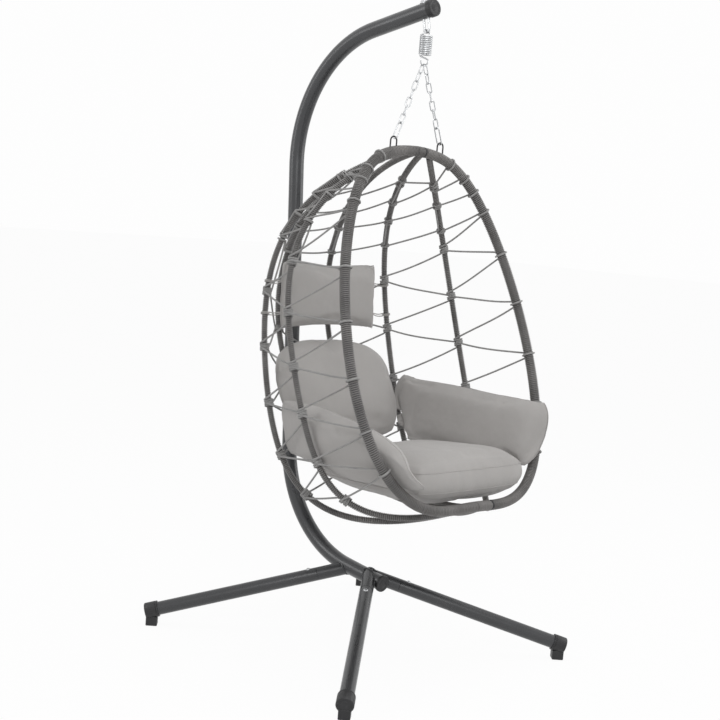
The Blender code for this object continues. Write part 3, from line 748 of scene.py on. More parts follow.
# ---- shared shapes ------------------------------------------------------------
def filleted(points: Sequence[Vector], bends: Sequence[float], step: float) -> list[Vector]:
    """A path of straight runs and round bends.

    Args:
        points: the start, the corners and the end.
        bends: the bend radius at each corner.
        step: the length of a chord in a bend.

    Returns:
        The path's points.
    """
    path = [points[0]]
    for before, corner, after, bend in zip(points, points[1:], points[2:], bends):
        back, ahead = (before - corner).normalized(), (after - corner).normalized()
        half = 0.5 * back.angle(ahead)
        centre = corner + (back + ahead).normalized() * (bend / sin(half))
        first = corner + back * (bend * cos(half) / sin(half)) - centre
        last = corner + ahead * (bend * cos(half) / sin(half)) - centre
        sweep = first.angle(last)
        count = max(2, round(sweep * bend / step))
        for number in range(count + 1):
            share = number / count
            arm = (sin((1.0 - share) * sweep) * first + sin(share * sweep) * last) / sin(sweep)
            path.append(centre + arm)
    return [*path, points[-1]]


def arc(centre: Vector, first: Vector, second: Vector, radius: float, start: float, stop: float,
        count: int) -> list[Vector]:
    """Points on a round arc.

    Args:
        centre: the arc's middle.
        first: the direction of angle 0.
        second: the direction of a quarter turn.
        radius: the arc's radius.
        start: the first angle.
        stop: the last angle.
        count: how many steps it has.

    Returns:
        The points.
    """
    angles = (start + (stop - start) * n / count for n in range(count + 1))
    return [centre + (first * cos(a) + second * sin(a)) * radius for a in angles]


@dataclass(frozen=True)
class BasketSpace:
    """The basket's own tilted axes."""

    centre: Vector = field(default_factory=lambda: Vector((0.0, -0.279, 1.0176)))
    tilt: float = radians(19.4)

    @property
    def long_axis(self) -> Vector:
        """Along the egg, upwards."""
        return Vector((0.0, sin(self.tilt), cos(self.tilt)))

    @property
    def face_axis(self) -> Vector:
        """Out of the egg's mouth."""
        return Vector((0.0, -cos(self.tilt), sin(self.tilt)))

    def point(self, across: float, height: float, outward: float) -> Vector:
        """A point given in the basket's axes."""
        return self.centre + Vector((across, 0.0, 0.0)) + height * self.long_axis + outward * self.face_axis

    def height(self, point: Vector) -> float:
        """How far up the egg a point is."""
        return (point - self.centre).dot(self.long_axis)


SPACE = BasketSpace()


@dataclass(frozen=True)
class Hoop:
    """The rim round the basket's mouth."""

    radius: float = 0.0155
    sweep: float = radians(3.1)
    width_waves: tuple[float, ...] = (0.3617, -0.0152, -0.0222, 0.0063)
    height_waves: tuple[float, ...] = (0.5979, 0.0203, -0.0643, 0.0001)

    def point(self, turn: float, side: int) -> Vector:
        """The hoop's middle at a turn from 0 (top) to pi (bottom), on side -1 or 1."""
        across = sum(w * sin((n + 1) * turn) for n, w in enumerate(self.width_waves))
        height = sum(w * cos((n + 1) * turn) for n, w in enumerate(self.height_waves))
        back = -abs(across) * sin(self.sweep)
        return SPACE.point(side * across * cos(self.sweep), height, back)

    def turn_at(self, across: float, low: bool) -> float:
        """The turn where the hoop is this far from the middle, on its lower or upper half."""
        turns = np.linspace(pi, 2.0, 500) if low else np.linspace(0.0, 1.5, 500)
        return float(np.interp(across, [self.point(t, 1).x for t in turns], turns))


@dataclass(frozen=True)
class Rib:
    """One rib, from the rim's top round the back to its bottom."""

    name: str
    angle: float
    end_x: float
    depth_waves: tuple[float, ...]
    height_waves: tuple[float, ...]
    radius: float = 0.010
    top: float = 0.554
    bottom: float = -0.513
    middle_x: float = 0.021

    def point(self, turn: float, side: int) -> Vector:
        """The rib's middle at a turn from 0 (top) to pi (bottom), on side -1 or 1."""
        depth = sum(w * sin((n + 1) * turn) for n, w in enumerate(self.depth_waves))
        height = 0.5 * (self.top + self.bottom) + 0.5 * (self.top - self.bottom) * cos(turn)
        height += sum(w * sin((n + 1) * turn) for n, w in enumerate(self.height_waves))
        start = self.middle_x + (self.end_x - self.middle_x) * (1.0 - sin(turn))
        return SPACE.point(side * (start + depth * cos(self.angle)), height, -depth * sin(self.angle))


HOOP = Hoop()
FRONT_RIB = Rib("front", radians(39.4), 0.050, (0.4785, 0.0051, 0.0379), (-0.1011, -0.0056))
MIDDLE_RIB = Rib("middle", radians(63.8), 0.030, (0.6113, -0.0206, 0.0390), (-0.0405, 0.0298))
BACK_RIB = Rib("back", radians(82.0), 0.012, (0.6145, 0.0191, -0.0056), (0.0647, 0.0278))
RIBS = (FRONT_RIB, MIDDLE_RIB, BACK_RIB)


# ---- stand --------------------------------------------------------------------
@dataclass
class Leg:
    """One leg's place: which corner, its root on the pole and its foot."""

    name: str
    hub: Vector
    foot: Vector

    @property
    def along(self) -> Vector:
        """Direction from the hub to the foot."""
        return (self.foot - self.hub).normalized()

    @property
    def upward(self) -> Vector:
        """Square to the leg, as near up as can be."""
        return (UP - self.along * self.along.z).normalized()


@dataclass
class Stand:
    """The bent pole, its caps, and four legs with their screws and feet."""

    shop: Workshop
    pole_radius: float = 0.024
    top_end: Vector = field(default_factory=lambda: Vector((0.0, -0.112, 1.958)))
    top_corner: Vector = field(default_factory=lambda: Vector((0.0, 0.475, 1.834)))
    low_corner: Vector = field(default_factory=lambda: Vector((0.0, 0.357, 0.267)))
    low_end: Vector = field(default_factory=lambda: Vector((0.0, -0.099, 0.2155)))
    bends: tuple[float, float] = (0.40, 0.36)
    cap_radius: float = 0.0262
    cap_grip: float = 0.0095
    cap_end: float = 0.009
    leg_radius: float = 0.021
    stub: float = 0.098
    screw_inset: float = 0.026
    foot_radius: float = 0.0255
    foot_grip: float = 0.036
    foot_end: float = 0.006
    pad: tuple[float, float, float] = (0.036, 0.034, 0.030)
    bolt_wire: float = 0.004
    bolt_half: float = 0.0095
    bolt_y: float = -0.0836
    bolt_low: float = 1.8885
    bolt_above: float = 0.038
    nut_radius: float = 0.0075
    nut_height: float = 0.0065

    @property
    def legs(self) -> list[Leg]:
        """The four legs' places."""
        places = []
        for word, hub, foot in (("front", (0.0, -0.045, 0.229), (0.475, -0.465, 0.042)),
                                ("rear", (0.0, 0.055, 0.227), (0.475, 0.465, 0.042))):
            for side in Side:
                tip = Vector((side.value * foot[0], foot[1], foot[2]))
                places.append(Leg(f"{word}_{side.word}", Vector(hub), tip))
        return places

    @property
    def slope(self) -> Vector:
        """Direction of the pole's top run towards its free end."""
        return (self.top_end - self.top_corner).normalized()

    def build(self) -> None:
        """Build the whole stand."""
        self.build_pole()
        self.build_caps()
        for leg in self.legs:
            self.build_leg(leg)
            self.build_screw(leg)
            self.build_foot(leg)
        self.build_bolt()

    def build_pole(self) -> None:
        """The bent tube with its four stubs and the weld bead round each of them."""
        path = filleted([self.top_end, self.top_corner, self.low_corner, self.low_end], self.bends, 0.012)
        pole = self.shop.bar("pole_tube", [Run(path)], self.pole_radius, 56, Slot.COAT)
        settle(pole, Body.STAND, Slot.COAT, "pole")
        stubs = [Run([leg.hub, leg.hub + leg.along * (self.stub - FIT_GAP)]) for leg in self.legs]
        settle(self.shop.bar("pole_stubs", stubs, self.leg_radius, 40, Slot.COAT), Body.STAND, Slot.COAT)
        beads = bmesh.new()
        for leg in self.legs:
            self.weld_bead(beads, leg)
        settle(self.shop.solid("pole_welds", beads, Slot.COAT), Body.STAND, Slot.COAT)

    def weld_bead(self, body: bmesh.types.BMesh, leg: Leg) -> None:
        """A rippled fillet where a stub leaves the pole.

        Args:
            body: the bmesh that gets it.
            leg: the stub's leg.
        """
        low_way = (self.low_end - self.low_corner).normalized()
        across = leg.along.cross(leg.upward)
        count = 72
        rings = []
        for n in range(count):
            angle = tau * n / count
            ray = leg.upward * cos(angle) + across * sin(angle)
            on_stub = leg.hub + ray * self.leg_radius
            offset = on_stub - self.low_end
            square = offset - low_way * offset.dot(low_way)
            run = leg.along - low_way * leg.along.dot(low_way)
            b, c = square.dot(run), square.dot(square) - self.pole_radius ** 2
            reach = (-b + sqrt(max(0.0, b * b - run.dot(run) * c))) / run.dot(run)
            spot = on_stub + leg.along * reach
            bead = 0.0030 * (1.0 + 0.10 * sin(18.0 * angle))
            section = arc(spot, ray, leg.along, bead, 0.0, tau, 8)[:-1]
            rings.append([body.verts.new(p) for p in section])
        for here, there in zip(rings, rings[1:] + rings[:1]):
            for k in range(8):
                body.faces.new((here[k], here[(k + 1) % 8], there[(k + 1) % 8], there[k]))

    def build_caps(self) -> None:
        """Black cups on the pole's two ends, domed a little, with a lip at the open edge."""
        r, g, e = self.cap_radius, self.cap_grip, self.cap_end
        ends = (("pole_cap_top", self.top_end, self.slope, g),
                ("pole_cap_bottom", self.low_end, (self.low_end - self.low_corner).normalized(), 0.0))
        for name, end, way, grip in ends:
            body = bmesh.new()
            inner = self.pole_radius + FIT_GAP
            lathe(body, end, way, [
                (FIT_GAP, 0.0), (FIT_GAP, inner), (-grip, inner), (-grip, r - 0.0006),
                (-grip + 0.0006, r), (e - 0.0026, r), (e - 0.0012, r - 0.0006), (e - 0.0003, r - 0.0024),
                (e - 0.0001, r - 0.0075), (e - 0.0008, r - 0.0090), (e - 0.0008, r - 0.0125),
                (e - 0.0003, r - 0.0135), (e, 0.0)], 56)
            cap = self.shop.solid(f"{name}_shell", body, Slot.PLASTIC)
            settle(cap, Body.STAND, Slot.PLASTIC, name)

    def build_leg(self, leg: Leg) -> None:
        """A leg's tube, with the rolled edge at its joint to the stub."""
        start = leg.hub + leg.along * self.stub
        end = leg.foot - leg.along * self.foot_end
        r = self.leg_radius
        length = (end - start).length
        body = bmesh.new()
        lathe(body, start, leg.along, [
            (0.0004, r - 0.0022), (0.0, r - 0.0016), (0.0002, r - 0.0008), (0.0011, r - 0.0001),
            (0.0022, r), (length - 0.0010, r), (length, r - 0.0010), (length, r - 0.002)], 44)
        tube = self.shop.solid(f"leg_tube_{leg.name}", body, Slot.COAT)
        settle(tube, Body.STAND, Slot.COAT, f"leg_{leg.name}")
        seam = bmesh.new()
        lathe(seam, start - leg.along * 0.0009, leg.along,
              [(0.0, 0.0), (0.0, r - 0.0012), (0.0016, r - 0.0012), (0.0016, 0.0)], 32)
        dark = self.shop.solid(f"leg_joint_{leg.name}", seam, Slot.PLASTIC)
        settle(dark, Body.STAND, Slot.PLASTIC)

    def build_screw(self, leg: Leg) -> None:
        """A button-head screw with its six-sided socket, on a thin washer."""
        spot = leg.hub + leg.along * (self.stub + self.screw_inset) + leg.upward * self.leg_radius
        body = bmesh.new()
        lathe(body, spot - leg.upward * 0.0010, leg.upward,
              [(0.0, 0.0), (0.0, 0.0076), (0.0014, 0.0076), (0.0016, 0.0072), (0.0016, 0.0)], 32)
        lathe(body, spot + leg.upward * 0.0006, leg.upward,
              [(0.0, 0.0), (0.0, 0.0063), (0.0008, 0.0062), (0.0018, 0.0054), (0.0025, 0.0040),
               (0.0027, 0.0024)], 32)
        lathe(body, spot + leg.upward * 0.0033, leg.upward,
              [(0.0, 0.0024), (-0.0002, 0.0023), (-0.0018, 0.0023), (-0.0018, 0.0)], 6)
        screw = self.shop.solid(f"leg_screw_head_{leg.name}", body, Slot.ZINC)
        settle(screw, Body.STAND, Slot.ZINC, f"leg_screw_{leg.name}")

    def build_foot(self, leg: Leg) -> None:
        """A cup over the leg's end, ribbed at its mouth, and the block that it stands on."""
        r, g = self.foot_radius, self.foot_grip
        end = leg.foot - leg.along * self.foot_end
        full = g + self.foot_end
        inner = self.leg_radius + FIT_GAP
        body = bmesh.new()
        lathe(body, end - leg.along * g, leg.along, [
            (g + FIT_GAP, 0.0), (g + FIT_GAP, inner), (0.0, inner), (0.0, r - 0.0010), (0.0008, r - 0.0002),
            (0.0040, r), (0.0048, r - 0.0009), (0.0062, r - 0.0009), (0.0070, r), (full - 0.0034, r),
            (full - 0.0016, r - 0.0008), (full - 0.0005, r - 0.0028), (full - 0.0002, r - 0.0062),
            (full - 0.0012, r - 0.0072), (full - 0.0012, r - 0.0112), (full - 0.0004, r - 0.0120),
            (full, 0.0)], 48)
        cup = self.shop.solid(f"foot_cup_{leg.name}", body, Slot.PLASTIC)
        settle(cup, Body.STAND, Slot.PLASTIC, f"foot_{leg.name}")
        long, wide, top = self.pad
        heading = atan2(leg.along.y, leg.along.x)
        flat = Vector((cos(heading), sin(heading), 0.0))
        middle = leg.foot - flat * (0.5 * long + 0.004)
        block = bmesh.new()
        place = Matrix.Translation((middle.x, middle.y, 0.5 * top)) @ Matrix.Rotation(heading, 4, "Z")
        bmesh.ops.create_cube(block, size=1.0, matrix=place @ Matrix.Diagonal((long, wide, top, 1.0)))
        bmesh.ops.bevel(block, geom=block.edges[:], offset=0.0028, segments=4, profile=0.5,
                        affect="EDGES")
        foot = self.shop.solid(f"foot_block_{leg.name}", block, Slot.PLASTIC)
        settle(foot, Body.STAND, Slot.PLASTIC)

    def build_bolt(self) -> None:
        """The U-bolt through the pole's top run, with threads, washers and two nuts."""
        slope = self.slope
        middle = self.top_end + slope * ((self.bolt_y - self.top_end.y) / slope.y)
        down = Vector((0.0, -abs(slope.z), -abs(slope.y)))
        if abs(down.dot(slope)) > 0.01:
            down.y = -down.y
        bend = Vector((0.0, HANG_Y, self.bolt_low + self.bolt_half))
        centre = middle + down * (bend - middle).dot(down)
        tips = [middle + slope * (s * self.bolt_half) - down * self.bolt_above for s in (1, -1)]
        path = [tips[0], *arc(centre, slope, down, self.bolt_half, 0.0, pi, 20), tips[1]]
        bolt = self.shop.bar("u_bolt_wire", [Run(path)], self.bolt_wire, 20, Slot.ZINC)
        settle(bolt, Body.STAND, Slot.ZINC, "u_bolt")
        threads = [self.thread(tip, down) for tip in tips]
        screwed = self.shop.bar("u_bolt_threads", threads, 0.0005, 5, Slot.ZINC)
        settle(screwed, Body.STAND, Slot.ZINC)
        for word, sign in (("front", 1), ("rear", -1)):
            seat = middle + slope * (sign * self.bolt_half) - down * (self.pole_radius + FIT_GAP)
            body = bmesh.new()
            lathe(body, seat + down * 0.0004, -down,
                  [(0.0, 0.0043), (0.0, 0.0090), (0.0012, 0.0090), (0.0012, 0.0043)], 36)
            r, h = self.nut_radius, self.nut_height
            lathe(body, seat - down * 0.0008, -down,
                  [(0.0, 0.0043), (0.0, r * 0.92), (0.0007, r), (h - 0.0012, r), (h - 0.0005, r * 0.92),
                   (h - 0.0005, 0.0043)], 6)
            nut = self.shop.solid(f"u_bolt_nut_{word}_set", body, Slot.ZINC)
            settle(nut, Body.STAND, Slot.ZINC, f"u_bolt_nut_{word}")

    def thread(self, tip: Vector, down: Vector) -> Run:
        """The thread's crest on one end of the bolt, as a helix.

        Args:
            tip: the bolt's end.
            down: the way towards the pole.

        Returns:
            The helix.
        """
        side = down.orthogonal().normalized()
        other = down.cross(side)
        points = []
        for n in range(9 * 12 + 1):
            angle = tau * n / 12.0
            ray = side * cos(angle) + other * sin(angle)
            points.append(tip + down * (0.0012 * n / 12.0 + 0.0006) + ray * (self.bolt_wire - 0.0001))
        return Run(points)


# ---- hanging gear -----------------------------------------------------------------
def hang(across: float, forward: float, height: float) -> Vector:
    """A point given from the hang line."""
    return Vector((across, HANG_Y + forward, height))


@dataclass
class HangingGear:
    """The spring with its two hooks, and the two chains."""

    shop: Workshop
    wire: float = 0.0024
    radius: float = 0.0171
    turns: int = 10
    top_z: float = 1.8786
    low_z: float = 1.8224
    bolt_low: float = 1.8925
    hook_radius: float = 0.0153
    hook_low: float = 1.7905
    link_wire: float = 0.002
    link_width: float = 0.014
    links: int = 7
    twist: float = radians(540.0 / 7.0)
    long_length: float = 0.0537
    long_width: float = 0.018
    long_wire: float = 0.0022
    start_x: float = 0.0046
    ring_x: float = 0.10
    ring_bar: float = 1.574
    ring_wire: float = 0.0023
    ring_half: float = 0.0125

    def build(self) -> None:
        """Build the spring, hooks and chains."""
        self.build_spring()
        self.build_hooks()
        self.build_chains()

    def coil_angle(self, share: float) -> float:
        """The coil's angle at a share of its length."""
        return radians(80.0) - tau * self.turns * share - radians(200.0) * share

    def build_spring(self) -> None:
        """The coil, which stretches between the two hooks."""
        count = self.turns * 28
        points = []
        for n in range(count + 1):
            share = n / count
            angle = self.coil_angle(share)
            height = self.top_z + (self.low_z - self.top_z) * share
            points.append(hang(self.radius * cos(angle), self.radius * sin(angle), height))
        spring = self.shop.bar("spring_coil", [Run(points)], self.wire, 14, Slot.ZINC)
        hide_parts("spring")
        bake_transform(spring)
        LOG.info("spring_coil: %d turns", self.turns)

    def build_hooks(self) -> None:
        """The eye over the U-bolt and the open hook that holds both chains."""
        start = self.coil_angle(0.0) + radians(7.0)
        rise = self.bolt_low + 2.0 * FIT_GAP + self.wire
        crown = 0.0125
        top = []
        for turn, reach, lift in ((0, 1.0, 0.0), (12, 1.0, 0.0001), (25, 1.0, 0.0003), (50, 0.97, 0.0008)):
            angle = start + radians(turn)
            r = self.radius * reach
            top.append(hang(r * cos(angle), r * sin(angle), self.top_z + lift))
        top += [hang(-0.0128, 0.0075, self.top_z + 0.0014), hang(-0.0132, 0.0028, self.top_z + 0.0025)]
        top += arc(hang(0.0, 0.0, rise - crown), Vector((1, 0, 0)), UP, crown, pi, 0.0, 24)
        top.append(hang(crown, 0.0, rise - crown - 0.003))
        eye = self.shop.bar("spring_eye", [Run(smoothed(top, 3))], self.wire, 14, Slot.ZINC)
        settle(eye, Body.TOP_HOOK, Slot.ZINC, "spring_top_hook")
        finish = self.coil_angle(1.0) - radians(7.0)
        low = []
        for turn, reach, drop in ((0, 1.0, 0.0), (25, 1.0, 0.0004), (50, 1.0, 0.0018), (72, 0.98, 0.005)):
            angle = finish - radians(turn)
            r = self.radius * reach
            low.append(hang(r * cos(angle), r * sin(angle), self.low_z - drop))
        middle = self.hook_low + self.hook_radius
        low.append(hang(self.hook_radius + 0.001, 0.001, middle + 0.006))
        low += arc(hang(0.0, 0.0, middle), Vector((1, 0, 0)), UP, self.hook_radius, radians(5.0),
                   radians(-195.0), 30)
        hook = self.shop.bar("spring_hook", [Run(smoothed(low, 2))], self.wire, 14, Slot.ZINC)
        settle(hook, Body.BOTTOM_HOOK, Slot.ZINC, "spring_bottom_hook")

    def link(self, top: Vector, along: Vector, across: Vector, length: float, width: float) -> Run:
        """The middle line of a chain link.

        Args:
            top: its top point.
            along: the chain's direction.
            across: the link's wide direction.
            length: its length.
            width: its width.

        Returns:
            The closed line.
        """
        half = 0.5 * width
        upper = arc(top + along * half, across, -along, half, 0.0, pi, 14)
        lower = arc(top + along * (length - half), across, -along, half, pi, tau, 14)
        return Run(upper + lower, closed=True)

    def build_chains(self) -> None:
        """Both chains; their first links ride on their own body."""
        wide = Vector((0.0, 1.0, 0.0))
        for side in Side:
            s = side.value
            hook = hang(s * self.start_x, 0.0, self.hook_low + 0.0006)
            ring = hang(s * self.ring_x, 0.0, self.ring_bar - self.ring_half)
            along = (ring - hook).normalized()
            first = hook - along * (self.wire + self.link_wire + FIT_GAP)
            last = ring - along * (self.ring_half - self.ring_wire - self.long_wire - 2.0 * FIT_GAP)
            long_top = last - along * self.long_length
            pitch = (long_top - first).length / self.links
            hold = 2.0 * self.link_wire + FIT_GAP
            runs = []
            for n in range(self.links):
                across = Matrix.Rotation(self.twist * n, 3, along) @ wide
                runs.append(self.link(first + along * (pitch * n), along, across, pitch + hold,
                                      self.link_width))
            word = side.word
            head = self.shop.bar(f"chain_{word}_first", runs[:1], self.link_wire - FIT_GAP, 12, Slot.ZINC)
            settle(head, Body.FIRST_LINKS, Slot.ZINC, f"chain_{word}_1")
            rest = self.shop.bar(f"chain_{word}_rest", runs[1:], self.link_wire, 12, Slot.ZINC)
            settle(rest, Body.CHAINS, Slot.ZINC, *(f"chain_{word}_{n}" for n in range(2, self.links + 1)))
            tail = self.link(long_top, along, wide, self.long_length, self.long_width)
            end = self.shop.bar(f"chain_{word}_end", [tail], self.long_wire, 12, Slot.ZINC)
            settle(end, Body.CHAINS, Slot.ZINC, f"chain_{word}_long")


def smoothed(points: Sequence[Vector], passes: int) -> list[Vector]:
    """Round off a line's corners, keeping its ends.

    Args:
        points: the line.
        passes: how many times each stretch is cut at its quarters.

    Returns:
        The rounder line.
    """
    line = list(points)
    for _ in range(passes):
        cut = [line[0]]
        for a, b in zip(line, line[1:]):
            cut += [a.lerp(b, 0.25), a.lerp(b, 0.75)]
        line = [*cut, line[-1]]
    return line


# ---- basket frame ---------------------------------------------------------------
@dataclass
class BasketFrame:
    """The hoop in two halves, its sleeves and chain loops, and six ribs, all wound with rattan."""

    shop: Workshop
    gear: HangingGear
    strand: float = 0.0022
    pitch: float = 0.0058
    sleeve_top_x: float = 0.031
    sleeve_low_x: float = 0.068
    sleeve_half: float = 0.003
    plug: float = 0.018

    def build(self) -> None:
        """Build the whole frame."""
        self.build_hoop()
        self.build_sleeves()
        for side in Side:
            for rib in RIBS:
                self.build_rib(rib, side)

    def seams(self) -> list[tuple[Vector, Vector, float]]:
        """The hoop's two seams as (middle, direction along the hoop, turn)."""
        found = []
        for turn in (HOOP.turn_at(self.sleeve_top_x, low=False), HOOP.turn_at(self.sleeve_low_x, low=True)):
            ahead = (HOOP.point(turn + 0.01, 1) - HOOP.point(turn - 0.01, 1)).normalized()
            found.append((HOOP.point(turn, 1), ahead, turn))
        return found

    def halves(self) -> dict[Side, list[Vector]]:
        """Middle lines of the hoop's two halves, straight for a short way at each seam."""
        (top, top_way, top_turn), (low, low_way, low_turn) = self.seams()
        margin, straight = self.sleeve_half + FIT_GAP, self.plug + 0.002

        def stretch(first: float, last: float, count: int) -> list[Vector]:
            """Points on the hoop between two turns."""
            turns = (first + (last - first) * n / count for n in range(count + 1))
            return [HOOP.point(t, 1) if t <= pi else HOOP.point(tau - t, -1) for t in turns]

        right = [top + top_way * margin, top + top_way * straight]
        right += stretch(top_turn, low_turn, 130)[6:-6]
        right += [low - low_way * straight, low - low_way * margin]
        left = [low + low_way * margin, low + low_way * straight]
        left += stretch(low_turn, tau, 135)[6:-1] + [HOOP.point(0.0, 1)]
        left += [top - top_way * straight, top - top_way * margin]
        return {Side.RIGHT: right, Side.LEFT: left}

    def build_hoop(self) -> None:
        """Both halves: a black tube under the winding that shows as painted shade between the turns, the
        wound strand, and the wire loop for the chain.
        """
        for side, path in self.halves().items():
            node = f"rim_{side.word}"
            # Black tube under the winding: painted shade in the gaps between turns.
            painted_shade_core = self.shop.bar(f"rim_core_{side.word}", [Run(path)], HOOP.radius - 1.25 * self.strand,
                                 18, Slot.PLASTIC)
            settle(painted_shade_core, Body.BASKET, Slot.PLASTIC)
            wound = self.shop.winding(f"rim_winding_{side.word}", Run(path), HOOP.radius, self.strand,
                                      self.pitch, 20)
            settle(wound, Body.BASKET, Slot.RATTAN, node)
            centre = hang(side.value * self.gear.ring_x, 0.0, self.gear.ring_bar - self.gear.ring_half)
            base = HOOP.point(HOOP.turn_at(self.gear.ring_x, low=False), 1).z
            half = self.gear.ring_half
            points = [Vector((centre.x - half, HANG_Y, base))]
            points += arc(centre, Vector((1, 0, 0)), UP, half, pi, 0.0, 20)
            points.append(Vector((centre.x + half, HANG_Y, base)))
            loop = self.shop.bar(f"rim_loop_{side.word}", [Run(points)], self.gear.ring_wire, 14,
                                 Slot.PLASTIC)
            settle(loop, Body.BASKET, Slot.PLASTIC)

    def build_sleeves(self) -> None:
        """The plain black bands between the hoop's halves."""
        for word, (spot, way, _) in zip(("top", "bottom"), self.seams()):
            h, r = self.sleeve_half, HOOP.radius
            body = bmesh.new()
            lathe(body, spot - way * h, way, [
                (0.0, 0.0), (0.0, r - 0.0010), (0.0006, r - 0.0002), (0.0012, r), (2 * h - 0.0012, r),
                (2 * h - 0.0006, r - 0.0002), (2 * h, r - 0.0010), (2 * h, 0.0)], 40)
            band = self.shop.solid(f"rim_band_{word}", body, Slot.PLASTIC)
            settle(band, Body.BASKET, Slot.PLASTIC, f"rim_sleeve_{word}")

    def build_rib(self, rib: Rib, side: Side) -> None:
        """One rib: a black tube under the winding that shows as painted shade between the turns, and the
        wound strand.

        Args:
            rib: which rib.
            side: which side.
        """
        path = [rib.point(pi * n / 110.0, side.value) for n in range(111)]
        reach = HOOP.radius - 0.5 * self.strand
        keep = [p for p in path if self.clear_of_hoop(p, reach, side)]
        # Black tube under the winding: painted shade in the gaps between turns.
        painted_shade_core = self.shop.bar(f"rib_core_{rib.name}_{side.word}", [Run(keep)],
                             rib.radius - 1.25 * self.strand, 14, Slot.PLASTIC)
        settle(painted_shade_core, Body.BASKET, Slot.PLASTIC)
        wound = self.shop.winding(f"rib_winding_{rib.name}_{side.word}", Run(keep), rib.radius,
                                  self.strand, self.pitch, 14)
        settle(wound, Body.BASKET, Slot.RATTAN, f"rib_{rib.name}_{side.word}")

    def clear_of_hoop(self, point: Vector, reach: float, side: Side) -> bool:
        """Whether a point on a rib's middle is outside the hoop's winding.

        Args:
            point: the point.
            reach: the winding's radius.
            side: the rib's side.

        Returns:
            True where it is outside.
        """
        turns = np.linspace(-0.5, 0.5, 81)
        near = [HOOP.point(t, side.value) for t in turns]
        near += [HOOP.point(pi + t, side.value) for t in turns]
        return min((point - spot).length for spot in near) > reach


